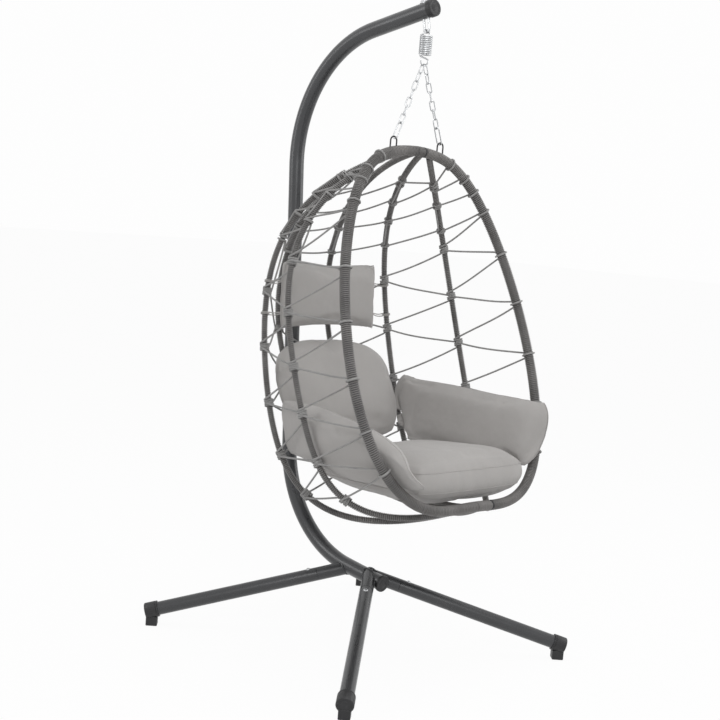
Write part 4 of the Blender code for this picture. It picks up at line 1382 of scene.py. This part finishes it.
# ---- ropes --------------------------------------------------------------------------
@dataclass
class RopePanels:
    """The seven laced panels between the hoop and the ribs."""

    shop: Workshop
    radius: float = 0.0028
    rows: tuple[float, ...] = (0.530, 0.490, 0.450, 0.385)
    row_turns: float = 1.0
    knot_turns: float = 2.0
    sag: float = 0.008
    knots: dict[tuple[str, int], tuple[float, ...]] = field(default_factory=lambda: {
        ("hoop", 1): (0.256, 0.101, -0.064, -0.220, -0.370),
        ("front", 1): (0.328, 0.181, 0.029, -0.122, -0.272, -0.400),
        ("middle", 1): (0.281, 0.124, -0.044, -0.205, -0.360),
        ("back", 1): (0.205, 0.047, -0.115, -0.270, -0.400),
        ("hoop", -1): (0.190, 0.035, -0.125, -0.270, -0.386),
        ("front", -1): (0.269, 0.120, -0.039, -0.178, -0.322, -0.440),
        ("middle", -1): (0.235, 0.068, -0.104, -0.268, -0.400),
        ("back", -1): (0.150, -0.010, -0.170, -0.325),
    })

    def build(self) -> None:
        """Lace every panel."""
        random = Random(7)
        for side in Side:
            stations: list[Hoop | Rib] = [HOOP, *RIBS]
            for number, word in enumerate(("mouth", "side", "rear")):
                ends = ((stations[number], side.value), (stations[number + 1], side.value))
                self.lace(f"{word}_{side.word}", ends, random)
        self.lace("back", ((BACK_RIB, -1), (BACK_RIB, 1)), random)

    def key(self, end: tuple[Hoop | Rib, int]) -> tuple[str, int]:
        """The key of a support's knots."""
        return ("hoop" if isinstance(end[0], Hoop) else end[0].name, end[1])

    def frame_at(self, end: tuple[Hoop | Rib, int], height: float) -> tuple[Vector, Vector]:
        """Where a support is at a height, and its direction downwards.

        Args:
            end: the support and its side.
            height: the height along the egg.

        Returns:
            The point and the direction.
        """
        support, side = end
        turns = np.linspace(0.30, 2.9, 420)
        heights = [-SPACE.height(support.point(t, side)) for t in turns]
        turn = float(np.interp(-height, heights, turns))
        here, ahead = support.point(turn, side), support.point(turn + 0.01, side)
        return here, (ahead - here).normalized()

    def wrap(self, own: tuple[Hoop | Rib, int], height: float, other: Vector, turns: float,
             shift: float) -> list[Vector]:
        """A rope's turns round a support, leaving towards another point.

        Args:
            own: the support and its side.
            height: where the turns are.
            other: the point that the rope comes from and goes to.
            turns: how many turns.
            shift: how far down the support the first turn is.

        Returns:
            The rope's points.
        """
        centre, down = self.frame_at(own, height)
        ray = other - centre
        ray = (ray - down * ray.dot(down)).normalized()
        aside = down.cross(ray)
        reach = own[0].radius + self.radius * 0.9
        steps = max(6, round(turns * 12))
        points = []
        for n in range(steps + 1):
            angle = tau * turns * n / steps + (0.5 * pi)
            drop = shift + (2.02 * self.radius) * turns * n / steps
            points.append(centre + down * drop + (ray * cos(angle) + aside * sin(angle)) * reach)
        return points

    def lace(self, name: str, ends: tuple[tuple[Hoop | Rib, int], tuple[Hoop | Rib, int]],
             random: Random) -> None:
        """Lace one panel with a single rope: rows, then a zigzag.

        Args:
            name: the panel's name.
            ends: the panel's two supports.
            random: where the rope's slack comes from.
        """
        stops: list[tuple[int, float, float]] = []
        for number, height in enumerate(self.rows):
            order = (0, 1) if number % 2 == 0 else (1, 0)
            stops += [(which, height + random.uniform(-0.004, 0.004), self.row_turns) for which in order]
        zigzag = [(which, height) for which in (0, 1) for height in self.knots[self.key(ends[which])]]
        zigzag.sort(key=lambda stop: -stop[1])
        tidy: list[tuple[int, float]] = []
        for stop in zigzag:
            if tidy and tidy[-1][0] == stop[0]:
                continue
            tidy.append(stop)
        for which, height in tidy:
            on_hoop = isinstance(ends[which][0], Hoop)
            stops.append((which, height, self.row_turns if on_hoop else self.knot_turns))
        points: list[Vector] = []
        for number, (which, height, turns) in enumerate(stops):
            other = stops[number - 1] if number else stops[1]
            if other[0] == which:
                other = stops[number + 1] if number + 1 < len(stops) else stops[number - 1]
            far, _ = self.frame_at(ends[1 - which], other[1])
            wound = self.radius * 2.02 * turns
            shift = 0.0 if which == 0 else -wound - self.radius * 0.4
            turned = self.wrap(ends[which], height, far, turns, shift)
            if points:
                start, stop = points[-1], turned[0]
                length = (stop - start).length
                slack = self.sag * random.uniform(0.2, 1.0) * min(1.0, length / 0.25)
                wave = random.uniform(-0.35, 0.35)
                for n in range(1, 12):
                    share = n / 12.0
                    drop = slack * (4.0 * share * (1.0 - share) + wave * sin(tau * share))
                    points.append(start.lerp(stop, share) - UP * drop)
            points += turned
        rope = self.shop.bar(f"lacing_{name}", [Run(points)], self.radius, 10, Slot.ROPE)
        settle(rope, Body.BASKET, Slot.ROPE, f"rope_{name}")


# ---- cushions -------------------------------------------------------------------------
Placer = Callable[[float, float, float], Vector]


@dataclass
class BasketWall:
    """The basket's inner side, which keeps cushions clear of hoop, ribs and ropes."""

    room: float = 0.0075
    middle: tuple[float, float, float] = (0.0, -0.05, 0.85)
    spots: np.ndarray = field(init=False)
    normals: np.ndarray = field(init=False)
    rooms: np.ndarray = field(init=False)

    def __post_init__(self) -> None:
        """Measure the wall once."""
        turns = np.linspace(0.15, 3.0, 76)
        lines = [((HOOP, side), (RIBS[0], side)) for side in (-1, 1)]
        lines += [((one, side), (two, side)) for side in (-1, 1) for one, two in zip(RIBS, RIBS[1:])]
        lines.append(((BACK_RIB, -1), (BACK_RIB, 1)))
        spots, normals, rooms = [], [], []
        for (first, side_a), (second, side_b) in lines:
            near = np.array([first.point(turn, side_a) for turn in turns])
            far = np.array([second.point(turn, side_b) for turn in turns])
            for share in np.linspace(0.0, 1.0, 13):
                row = near + (far - near) * share
                normal = np.cross(np.gradient(row, axis=0), far - near)
                normal /= np.linalg.norm(normal, axis=1, keepdims=True)
                normal *= np.sign(np.sum(normal * (np.array(self.middle) - row), axis=1))[:, None]
                spots.append(row)
                normals.append(normal)
                radius = first.radius * (1.0 - share) + second.radius * share
                rooms.append(np.full(len(turns), radius + self.room))
        self.spots, self.normals, self.rooms = np.vstack(spots), np.vstack(normals), np.concatenate(rooms)

    def tuck(self, points: np.ndarray, extra: np.ndarray) -> np.ndarray:
        """Move points inwards until they are clear of the wall.

        Args:
            points: the points, one a row.
            extra: how much more room each needs.

        Returns:
            The points, moved where they needed it.
        """
        tree = KDTree(len(self.spots))
        for number, spot in enumerate(self.spots):
            tree.insert(spot, number)
        tree.balance()
        points = points.copy()
        for _ in range(4):
            near = np.array([tree.find(point)[1] for point in points])
            depth = np.sum((points - self.spots[near]) * self.normals[near], axis=1)
            short = np.maximum(0.0, self.rooms[near] + extra - depth)
            points += self.normals[near] * short[:, None]
        return points


@dataclass
class Pillow:
    """One stuffed cushion: its size, its cells, its fullness and where it goes."""

    name: str
    half: float
    edge: float
    corner: float
    place: Placer
    cells: tuple[int, int]
    rows: int = 4
    swell: float = 0.012
    shrink: float = 0.02
    seams: tuple[float, ...] = (0.0,)
    fill: float = 0.6


@dataclass
class Cushions:
    """Seat, back, two arms and the head pillow, with their seams and ties."""

    shop: Workshop
    wall: BasketWall = field(default_factory=BasketWall)
    wall_step: float = 0.010
    thin: float = 0.004
    hold_out: float = 0.55  # how much of a point's inward travel is given back
    back_lean: float = radians(29.7)
    head_lean: float = radians(6.0)
    welt: float = 0.0011

    def pillows(self) -> list[Pillow]:
        """Every cushion's recipe."""
        return [
            Pillow("seat", 0.067, 0.50, 0.16, self.seat, (48, 46), rows=8, seams=(-0.75, 0.75), fill=0.75),
            Pillow("back", 0.043, 0.35, 0.25, self.back, (50, 36), rows=6, fill=0.65),
            Pillow("arm_left", 0.040, 0.35, 0.20, self.arm_left, (56, 24), rows=6, shrink=0.05, fill=0.5),
            Pillow("arm_right", 0.038, 0.35, 0.14, self.arm_right, (58, 26), rows=6, fill=0.65),
            Pillow("head", 0.031, 0.20, 0.04, self.head, (44, 24), fill=0.6),
        ]

    def build(self) -> None:
        """Make, swell and dress every cushion, then add the ties."""
        for pillow in self.pillows():
            self.make(pillow)
        self.build_ties()

    def seat(self, u: float, v: float, lift: float) -> Vector:
        """Seat pad: u to the right, v to the back, sinking a little towards the back."""
        lift *= (1.0 if lift > 0.0 else 0.85) * (1.0 - 0.20 * v)
        return Vector((0.012 + u * 0.252, -0.212 + 0.235 * v, 0.596 - 0.012 * v + lift))

    def back(self, u: float, v: float, lift: float) -> Vector:
        """Back pad: u to the right, v up the back, with a round top; lift points forwards."""
        high, low = max(0.0, v), max(0.0, -v)
        narrow = 0.250 * (1.0 - 0.30 * high ** 3 - 0.12 * low * low)
        along = 0.158 * v - 0.022 * high * u * u - 0.044 * low
        depth = lift + 0.020 * u * u
        y = 0.188 + along * sin(self.back_lean) - depth * cos(self.back_lean)
        z = 0.800 + along * cos(self.back_lean) + depth * sin(self.back_lean)
        return Vector((u * narrow - 0.006, y, z))

    def arm_left(self, u: float, v: float, lift: float) -> Vector:
        """Left arm pad, slumped: u to the back, v up; its front end sags down and inwards."""
        front = max(0.0, 0.35 - u) / 1.35
        y = -0.154 + 0.279 * u - 0.034 * front * (1.0 - v)
        x = 0.292 - 0.020 * max(0.0, u) - lift + front * (0.012 * v - 0.006)
        return Vector((-x, y, 0.686 + 0.094 * v - 0.068 * front * front))

    def arm_right(self, u: float, v: float, lift: float) -> Vector:
        """Right arm pad: u to the back, v up; lift points to the middle."""
        front, rear = max(0.0, -u - 0.8) / 0.2, max(0.0, u)
        x = 0.304 - 0.018 * rear + 0.012 * front * front + 0.018 * v - lift * (1.0 - 0.25 * rear)
        return Vector((x, -0.126 + 0.307 * u, 0.712 + 0.006 * rear + 0.112 * v))

    def head(self, u: float, v: float, lift: float) -> Vector:
        """Head pillow: u to the right, v up; lift points forwards."""
        y = 0.243 + 0.105 * v * sin(self.head_lean) - lift * cos(self.head_lean)
        z = 1.076 + 0.105 * v * cos(self.head_lean) + lift * sin(self.head_lean)
        return Vector((u * 0.207, y, z))

    def shell(self, pillow: Pillow) -> tuple[bpy.types.Object, list[list[int]], np.ndarray]:
        """A cushion's cover before it is filled.

        Args:
            pillow: the recipe.

        Returns:
            The cover, the loops of point numbers round its side, and each point's extra room.
        """
        across, along = pillow.cells
        body = bmesh.new()
        extra: list[float] = []

        def put(u: float, v: float, w: float) -> bmesh.types.BMVert:
            """Add one point of the cover and note its extra room."""
            crown = sqrt(max(0.0, (1.0 - u ** 4) * (1.0 - v ** 4)))
            lift = w * (pillow.half - self.thin) * (pillow.edge + (1.0 - pillow.edge) * crown)
            waist = 1.0 - 0.05 * w * w
            wide = u * waist * sqrt(1.0 - pillow.corner * v ** 4)
            tall = v * waist * sqrt(1.0 - pillow.corner * u ** 4)
            extra.append(self.wall_step * (1.0 + w))
            return body.verts.new(pillow.place(wide, tall, lift))

        def spread(count: int) -> list[float]:
            """Cell borders from -1 to 1, a little closer together at the ends."""
            even = [2.0 * n / count - 1.0 for n in range(count + 1)]
            return [0.65 * share + 0.35 * sin(0.5 * pi * share) for share in even]

        us, vs = spread(across), spread(along)
        border = [(u, -1.0) for u in us[:-1]] + [(1.0, v) for v in vs[:-1]]
        border += [(u, 1.0) for u in us[:0:-1]] + [(-1.0, v) for v in vs[:0:-1]]
        loops = []
        for row in range(pillow.rows + 1):
            w = 2.0 * row / pillow.rows - 1.0
            loops.append([put(u, v, w) for u, v in border])
        for low, high in zip(loops, loops[1:]):
            for n in range(len(border)):
                m = (n + 1) % len(border)
                body.faces.new((low[n], low[m], high[m], high[n]))
        at = {spot: n for n, spot in enumerate(border)}
        for w, loop in ((-1.0, loops[0]), (1.0, loops[-1])):
            grid = [[loop[at[(u, v)]] if (u, v) in at else put(u, v, w) for u in us] for v in vs]
            for r in range(along):
                for c in range(across):
                    face = [grid[r][c], grid[r][c + 1], grid[r + 1][c + 1], grid[r + 1][c]]
                    body.faces.new(face if w > 0.0 else face[::-1])
        body.verts.index_update()
        numbers = [[vert.index for vert in loop] for loop in loops]
        bmesh.ops.recalc_face_normals(body, faces=body.faces)
        if body.calc_volume(signed=True) < 0.0:
            bmesh.ops.reverse_faces(body, faces=body.faces)
        mesh = bpy.data.meshes.new(f"cover_{pillow.name}")
        body.to_mesh(mesh)
        body.free()
        cover = linked(f"cover_{pillow.name}", mesh)
        self.settle_in(cover, np.array(extra))
        return cover, numbers, np.array(extra)

    def settle_in(self, cover: bpy.types.Object, extra: np.ndarray) -> None:
        """Move a cover's points clear of the basket's wall.

        Args:
            cover: the cover, which is changed.
            extra: each point's extra room.
        """
        points = np.array([vert.co for vert in cover.data.vertices], dtype=np.float64)
        tucked = self.wall.tuck(points, extra)
        cover.data.vertices.foreach_set("co", tucked.astype(np.float32).ravel())
        cover.data.update()

    def inflate(self, cover: bpy.types.Object, pillow: Pillow) -> None:
        """Fill the cover by a short cloth simulation, with a limit on how far a point may move.

        Args:
            cover: the cover, which is changed.
            pillow: the recipe.
        """
        scene = bpy.context.scene
        rest = np.array([vert.co for vert in cover.data.vertices])
        step = cover.modifiers.new("filling", "CLOTH")
        cloth = step.settings
        cloth.quality = 6
        cloth.mass = 0.25
        cloth.tension_stiffness = 18.0
        cloth.compression_stiffness = 12.0
        cloth.shear_stiffness = 6.0
        cloth.bending_stiffness = 0.4
        cloth.use_pressure = True
        cloth.uniform_pressure_force = 4.0
        cloth.shrink_min = -pillow.shrink
        cloth.effector_weights.gravity = 0.0
        step.collision_settings.use_collision = False
        step.point_cache.frame_start = 1
        step.point_cache.frame_end = 20
        for frame in range(1, 21):
            scene.frame_set(frame)
        ready = cover.evaluated_get(bpy.context.evaluated_depsgraph_get())
        moved = np.array([vert.co for vert in ready.data.vertices])
        cover.modifiers.remove(step)
        scene.frame_set(1)
        travel = moved - rest
        travel -= travel.mean(axis=0)
        outward = self.outward(cover)
        inward = np.minimum(0.0, np.sum(travel * outward, axis=1))[:, None]
        travel -= outward * inward * self.hold_out
        length = np.linalg.norm(travel, axis=1, keepdims=True)
        limit = pillow.swell * np.tanh(length / pillow.swell) / np.maximum(length, 1e-9)
        cover.data.vertices.foreach_set("co", (rest + travel * limit).astype(np.float32).ravel())
        cover.data.update()

    def outward(self, cover: bpy.types.Object) -> np.ndarray:
        """The outward direction at each of a cover's points."""
        return np.array([vert.normal for vert in cover.data.vertices], dtype=np.float64)

    def make(self, pillow: Pillow) -> None:
        """Make one cushion with its seams.

        Args:
            pillow: the recipe.
        """
        cover, loops, extra = self.shell(pillow)
        self.inflate(cover, pillow)
        self.settle_in(cover, 0.6 * extra)
        points = [vert.co.copy() for vert in cover.data.vertices]
        rounder = cover.modifiers.new("rounding", "SUBSURF")
        rounder.levels = rounder.render_levels = 1
        bpy.context.view_layer.update()
        ready = cover.evaluated_get(bpy.context.evaluated_depsgraph_get())
        mesh = bpy.data.meshes.new_from_object(ready)
        bpy.data.objects.remove(cover)
        mesh.shade_smooth()
        mesh.materials.clear()
        mesh.materials.append(self.shop.finishes[Slot.CLOTH])
        cushion = linked(f"pad_{pillow.name}", mesh)
        settle(cushion, Body.BASKET, Slot.CLOTH, f"cushion_{pillow.name}")
        runs = []
        for share in pillow.seams:
            row = round(0.5 * (share + 1.0) * pillow.rows)
            runs.append(Run([points[n] for n in loops[row]], closed=True))
        seam = self.shop.bar(f"seam_{pillow.name}", runs, self.welt, 8, Slot.CLOTH)
        settle(seam, Body.BASKET, Slot.CLOTH)

    def build_ties(self) -> None:
        """The cloth ties that hold the head pillow to the middle ribs."""
        for side in Side:
            for number, (height, reach) in enumerate(((1.120, 0.95), (1.020, 0.95))):
                start = self.head(side.value * reach, (height - 1.076) / 0.105, 0.0)
                turns = np.linspace(0.6, 2.4, 300)
                spots = [MIDDLE_RIB.point(t, side.value) for t in turns]
                centre = min(spots, key=lambda p: abs(p.z - start.z))
                down = (spots[spots.index(centre) + 1] - centre).normalized()
                ray = (start - centre)
                ray = (ray - down * ray.dot(down)).normalized()
                aside = down.cross(ray)
                loop = [centre + down * (0.004 * a / tau) + (ray * cos(a) + aside * sin(a)) * 0.0125
                        for a in (0.5 * pi + 2.0 * tau * n / 30 for n in range(31))]
                path = [start, start.lerp(loop[0], 0.5) - UP * 0.004, *loop,
                        start.lerp(loop[-1], 0.45) - UP * 0.007, start - UP * 0.004]
                tie = self.shop.bar(f"tie_{side.word}_{number}", [Run(smoothed(path, 1))], 0.0017, 8,
                                    Slot.CLOTH)
                settle(tie, Body.BASKET, Slot.CLOTH)


# ---- studio -----------------------------------------------------------------------------
@dataclass
class Studio:
    """A pale floor, a white surround, soft lamps and the camera."""

    eye: tuple[float, float, float] = (-2.813, -2.835, 1.328)
    lens: float = 65.0
    heading: tuple[float, float] = (0.695, 0.719)
    pitch: float = radians(6.2)
    roll: float = radians(4.64)

    def build(self) -> None:
        """Set up everything that isn't the chair."""
        scene = bpy.context.scene
        scene.view_settings.view_transform = "Standard"
        self.build_camera()
        self.build_surround()
        self.build_floor()
        self.lamp("key", (-2.6, -3.4, 3.4), (0.0, -0.2, 1.0), 2.2, 62.0)
        self.lamp("fill", (3.6, -2.2, 2.2), (0.0, 0.0, 0.9), 2.4, 34.0)
        self.lamp("rim", (-3.2, 2.2, 2.4), (0.0, 0.0, 1.0), 1.6, 26.0)
        self.lamp("top", (0.3, -0.6, 4.2), (0.0, 0.0, 0.8), 2.6, 40.0)

    def build_camera(self) -> None:
        """A long lens at eye height, tipped down and rolled a little."""
        ahead = Vector((*self.heading, 0.0)).normalized()
        right = Vector((self.heading[1], -self.heading[0], 0.0)).normalized()
        look = ahead * cos(self.pitch) - UP * sin(self.pitch)
        head = ahead * sin(self.pitch) + UP * cos(self.pitch)
        x_axis = right * cos(self.roll) + head * sin(self.roll)
        y_axis = head * cos(self.roll) - right * sin(self.roll)
        data = bpy.data.cameras.new("camera")
        data.lens = self.lens
        data.sensor_width = 36.0
        camera = bpy.data.objects.new("camera", data)
        camera.matrix_world = Matrix.Translation(self.eye) @ Matrix(
            (x_axis, y_axis, -look)).transposed().to_4x4()
        bpy.context.scene.collection.objects.link(camera)
        bpy.context.scene.camera = camera

    def seen(self, tree: bpy.types.NodeTree) -> bpy.types.NodeSocket:
        """Whether a ray comes from the camera, a mirror or glass."""
        path = tree.nodes.new("ShaderNodeLightPath")
        total = path.outputs["Is Camera Ray"]
        for label in ("Is Glossy Ray", "Is Transmission Ray"):
            add = tree.nodes.new("ShaderNodeMath")
            add.operation = "MAXIMUM"
            tree.links.new(total, add.inputs[0])
            tree.links.new(path.outputs[label], add.inputs[1])
            total = add.outputs[0]
        return total

    def build_surround(self) -> None:
        """A white world to look at that lights the chair softly."""
        world = bpy.data.worlds.new("surround")
        world.use_nodes = True
        bpy.context.scene.world = world
        tree = world.node_tree
        light = tree.nodes["Background"]
        light.inputs["Color"].default_value = (1.0, 1.0, 1.0, 1.0)
        light.inputs["Strength"].default_value = 0.42
        white = tree.nodes.new("ShaderNodeBackground")
        white.inputs["Strength"].default_value = 1.0
        white.inputs["Color"].default_value = (0.986, 0.986, 0.986, 1.0)
        mix = tree.nodes.new("ShaderNodeMixShader")
        tree.links.new(self.seen(tree), mix.inputs[0])
        tree.links.new(light.outputs[0], mix.inputs[1])
        tree.links.new(white.outputs[0], mix.inputs[2])
        tree.links.new(mix.outputs[0], tree.nodes["World Output"].inputs["Surface"])

    def build_floor(self) -> None:
        """A wide pale floor that keeps a soft shadow."""
        body = bmesh.new()
        bmesh.ops.create_grid(body, x_segments=1, y_segments=1, size=40.0)
        mesh = bpy.data.meshes.new("floor")
        body.to_mesh(mesh)
        body.free()
        floor = linked("floor", mesh)
        graph = NodeGraph("pale_floor")
        graph.finish(Base_Color=(0.90, 0.90, 0.90), Roughness=0.9)
        glow = graph.add("ShaderNodeEmission", Strength=1.0)
        mix = graph.add("ShaderNodeMixShader")
        share = graph.maths("MULTIPLY", self.seen(graph.tree), 0.95)
        graph.tree.links.new(share, mix.inputs[0])
        graph.tree.links.new(graph.shader.outputs[0], mix.inputs[1])
        graph.tree.links.new(glow.outputs[0], mix.inputs[2])
        graph.tree.links.new(mix.outputs[0], graph.tree.nodes["Material Output"].inputs["Surface"])
        mesh.materials.append(graph.material)

    def lamp(self, name: str, place: tuple[float, float, float], aim: tuple[float, float, float],
             size: float, power: float) -> None:
        """A soft square lamp.

        Args:
            name: its name.
            place: where it is.
            aim: where it points.
            size: its width.
            power: its power in watts.
        """
        data = bpy.data.lights.new(name, "AREA")
        data.size = size
        data.energy = power
        lamp = bpy.data.objects.new(name, data)
        lamp.location = place
        lamp.rotation_mode = "QUATERNION"
        lamp.rotation_quaternion = (Vector(aim) - Vector(place)).to_track_quat("-Z", "Y")
        bpy.context.scene.collection.objects.link(lamp)


def main() -> None:
    """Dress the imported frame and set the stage."""
    logging.basicConfig(level=logging.INFO, format="%(name)s %(message)s")
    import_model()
    shop = Workshop()
    Studio().build()
    Stand(shop).build()
    gear = HangingGear(shop)
    gear.build()
    BasketFrame(shop, gear).build()
    RopePanels(shop).build()
    Cushions(shop).build()


if __name__ == "__main__":
    main()
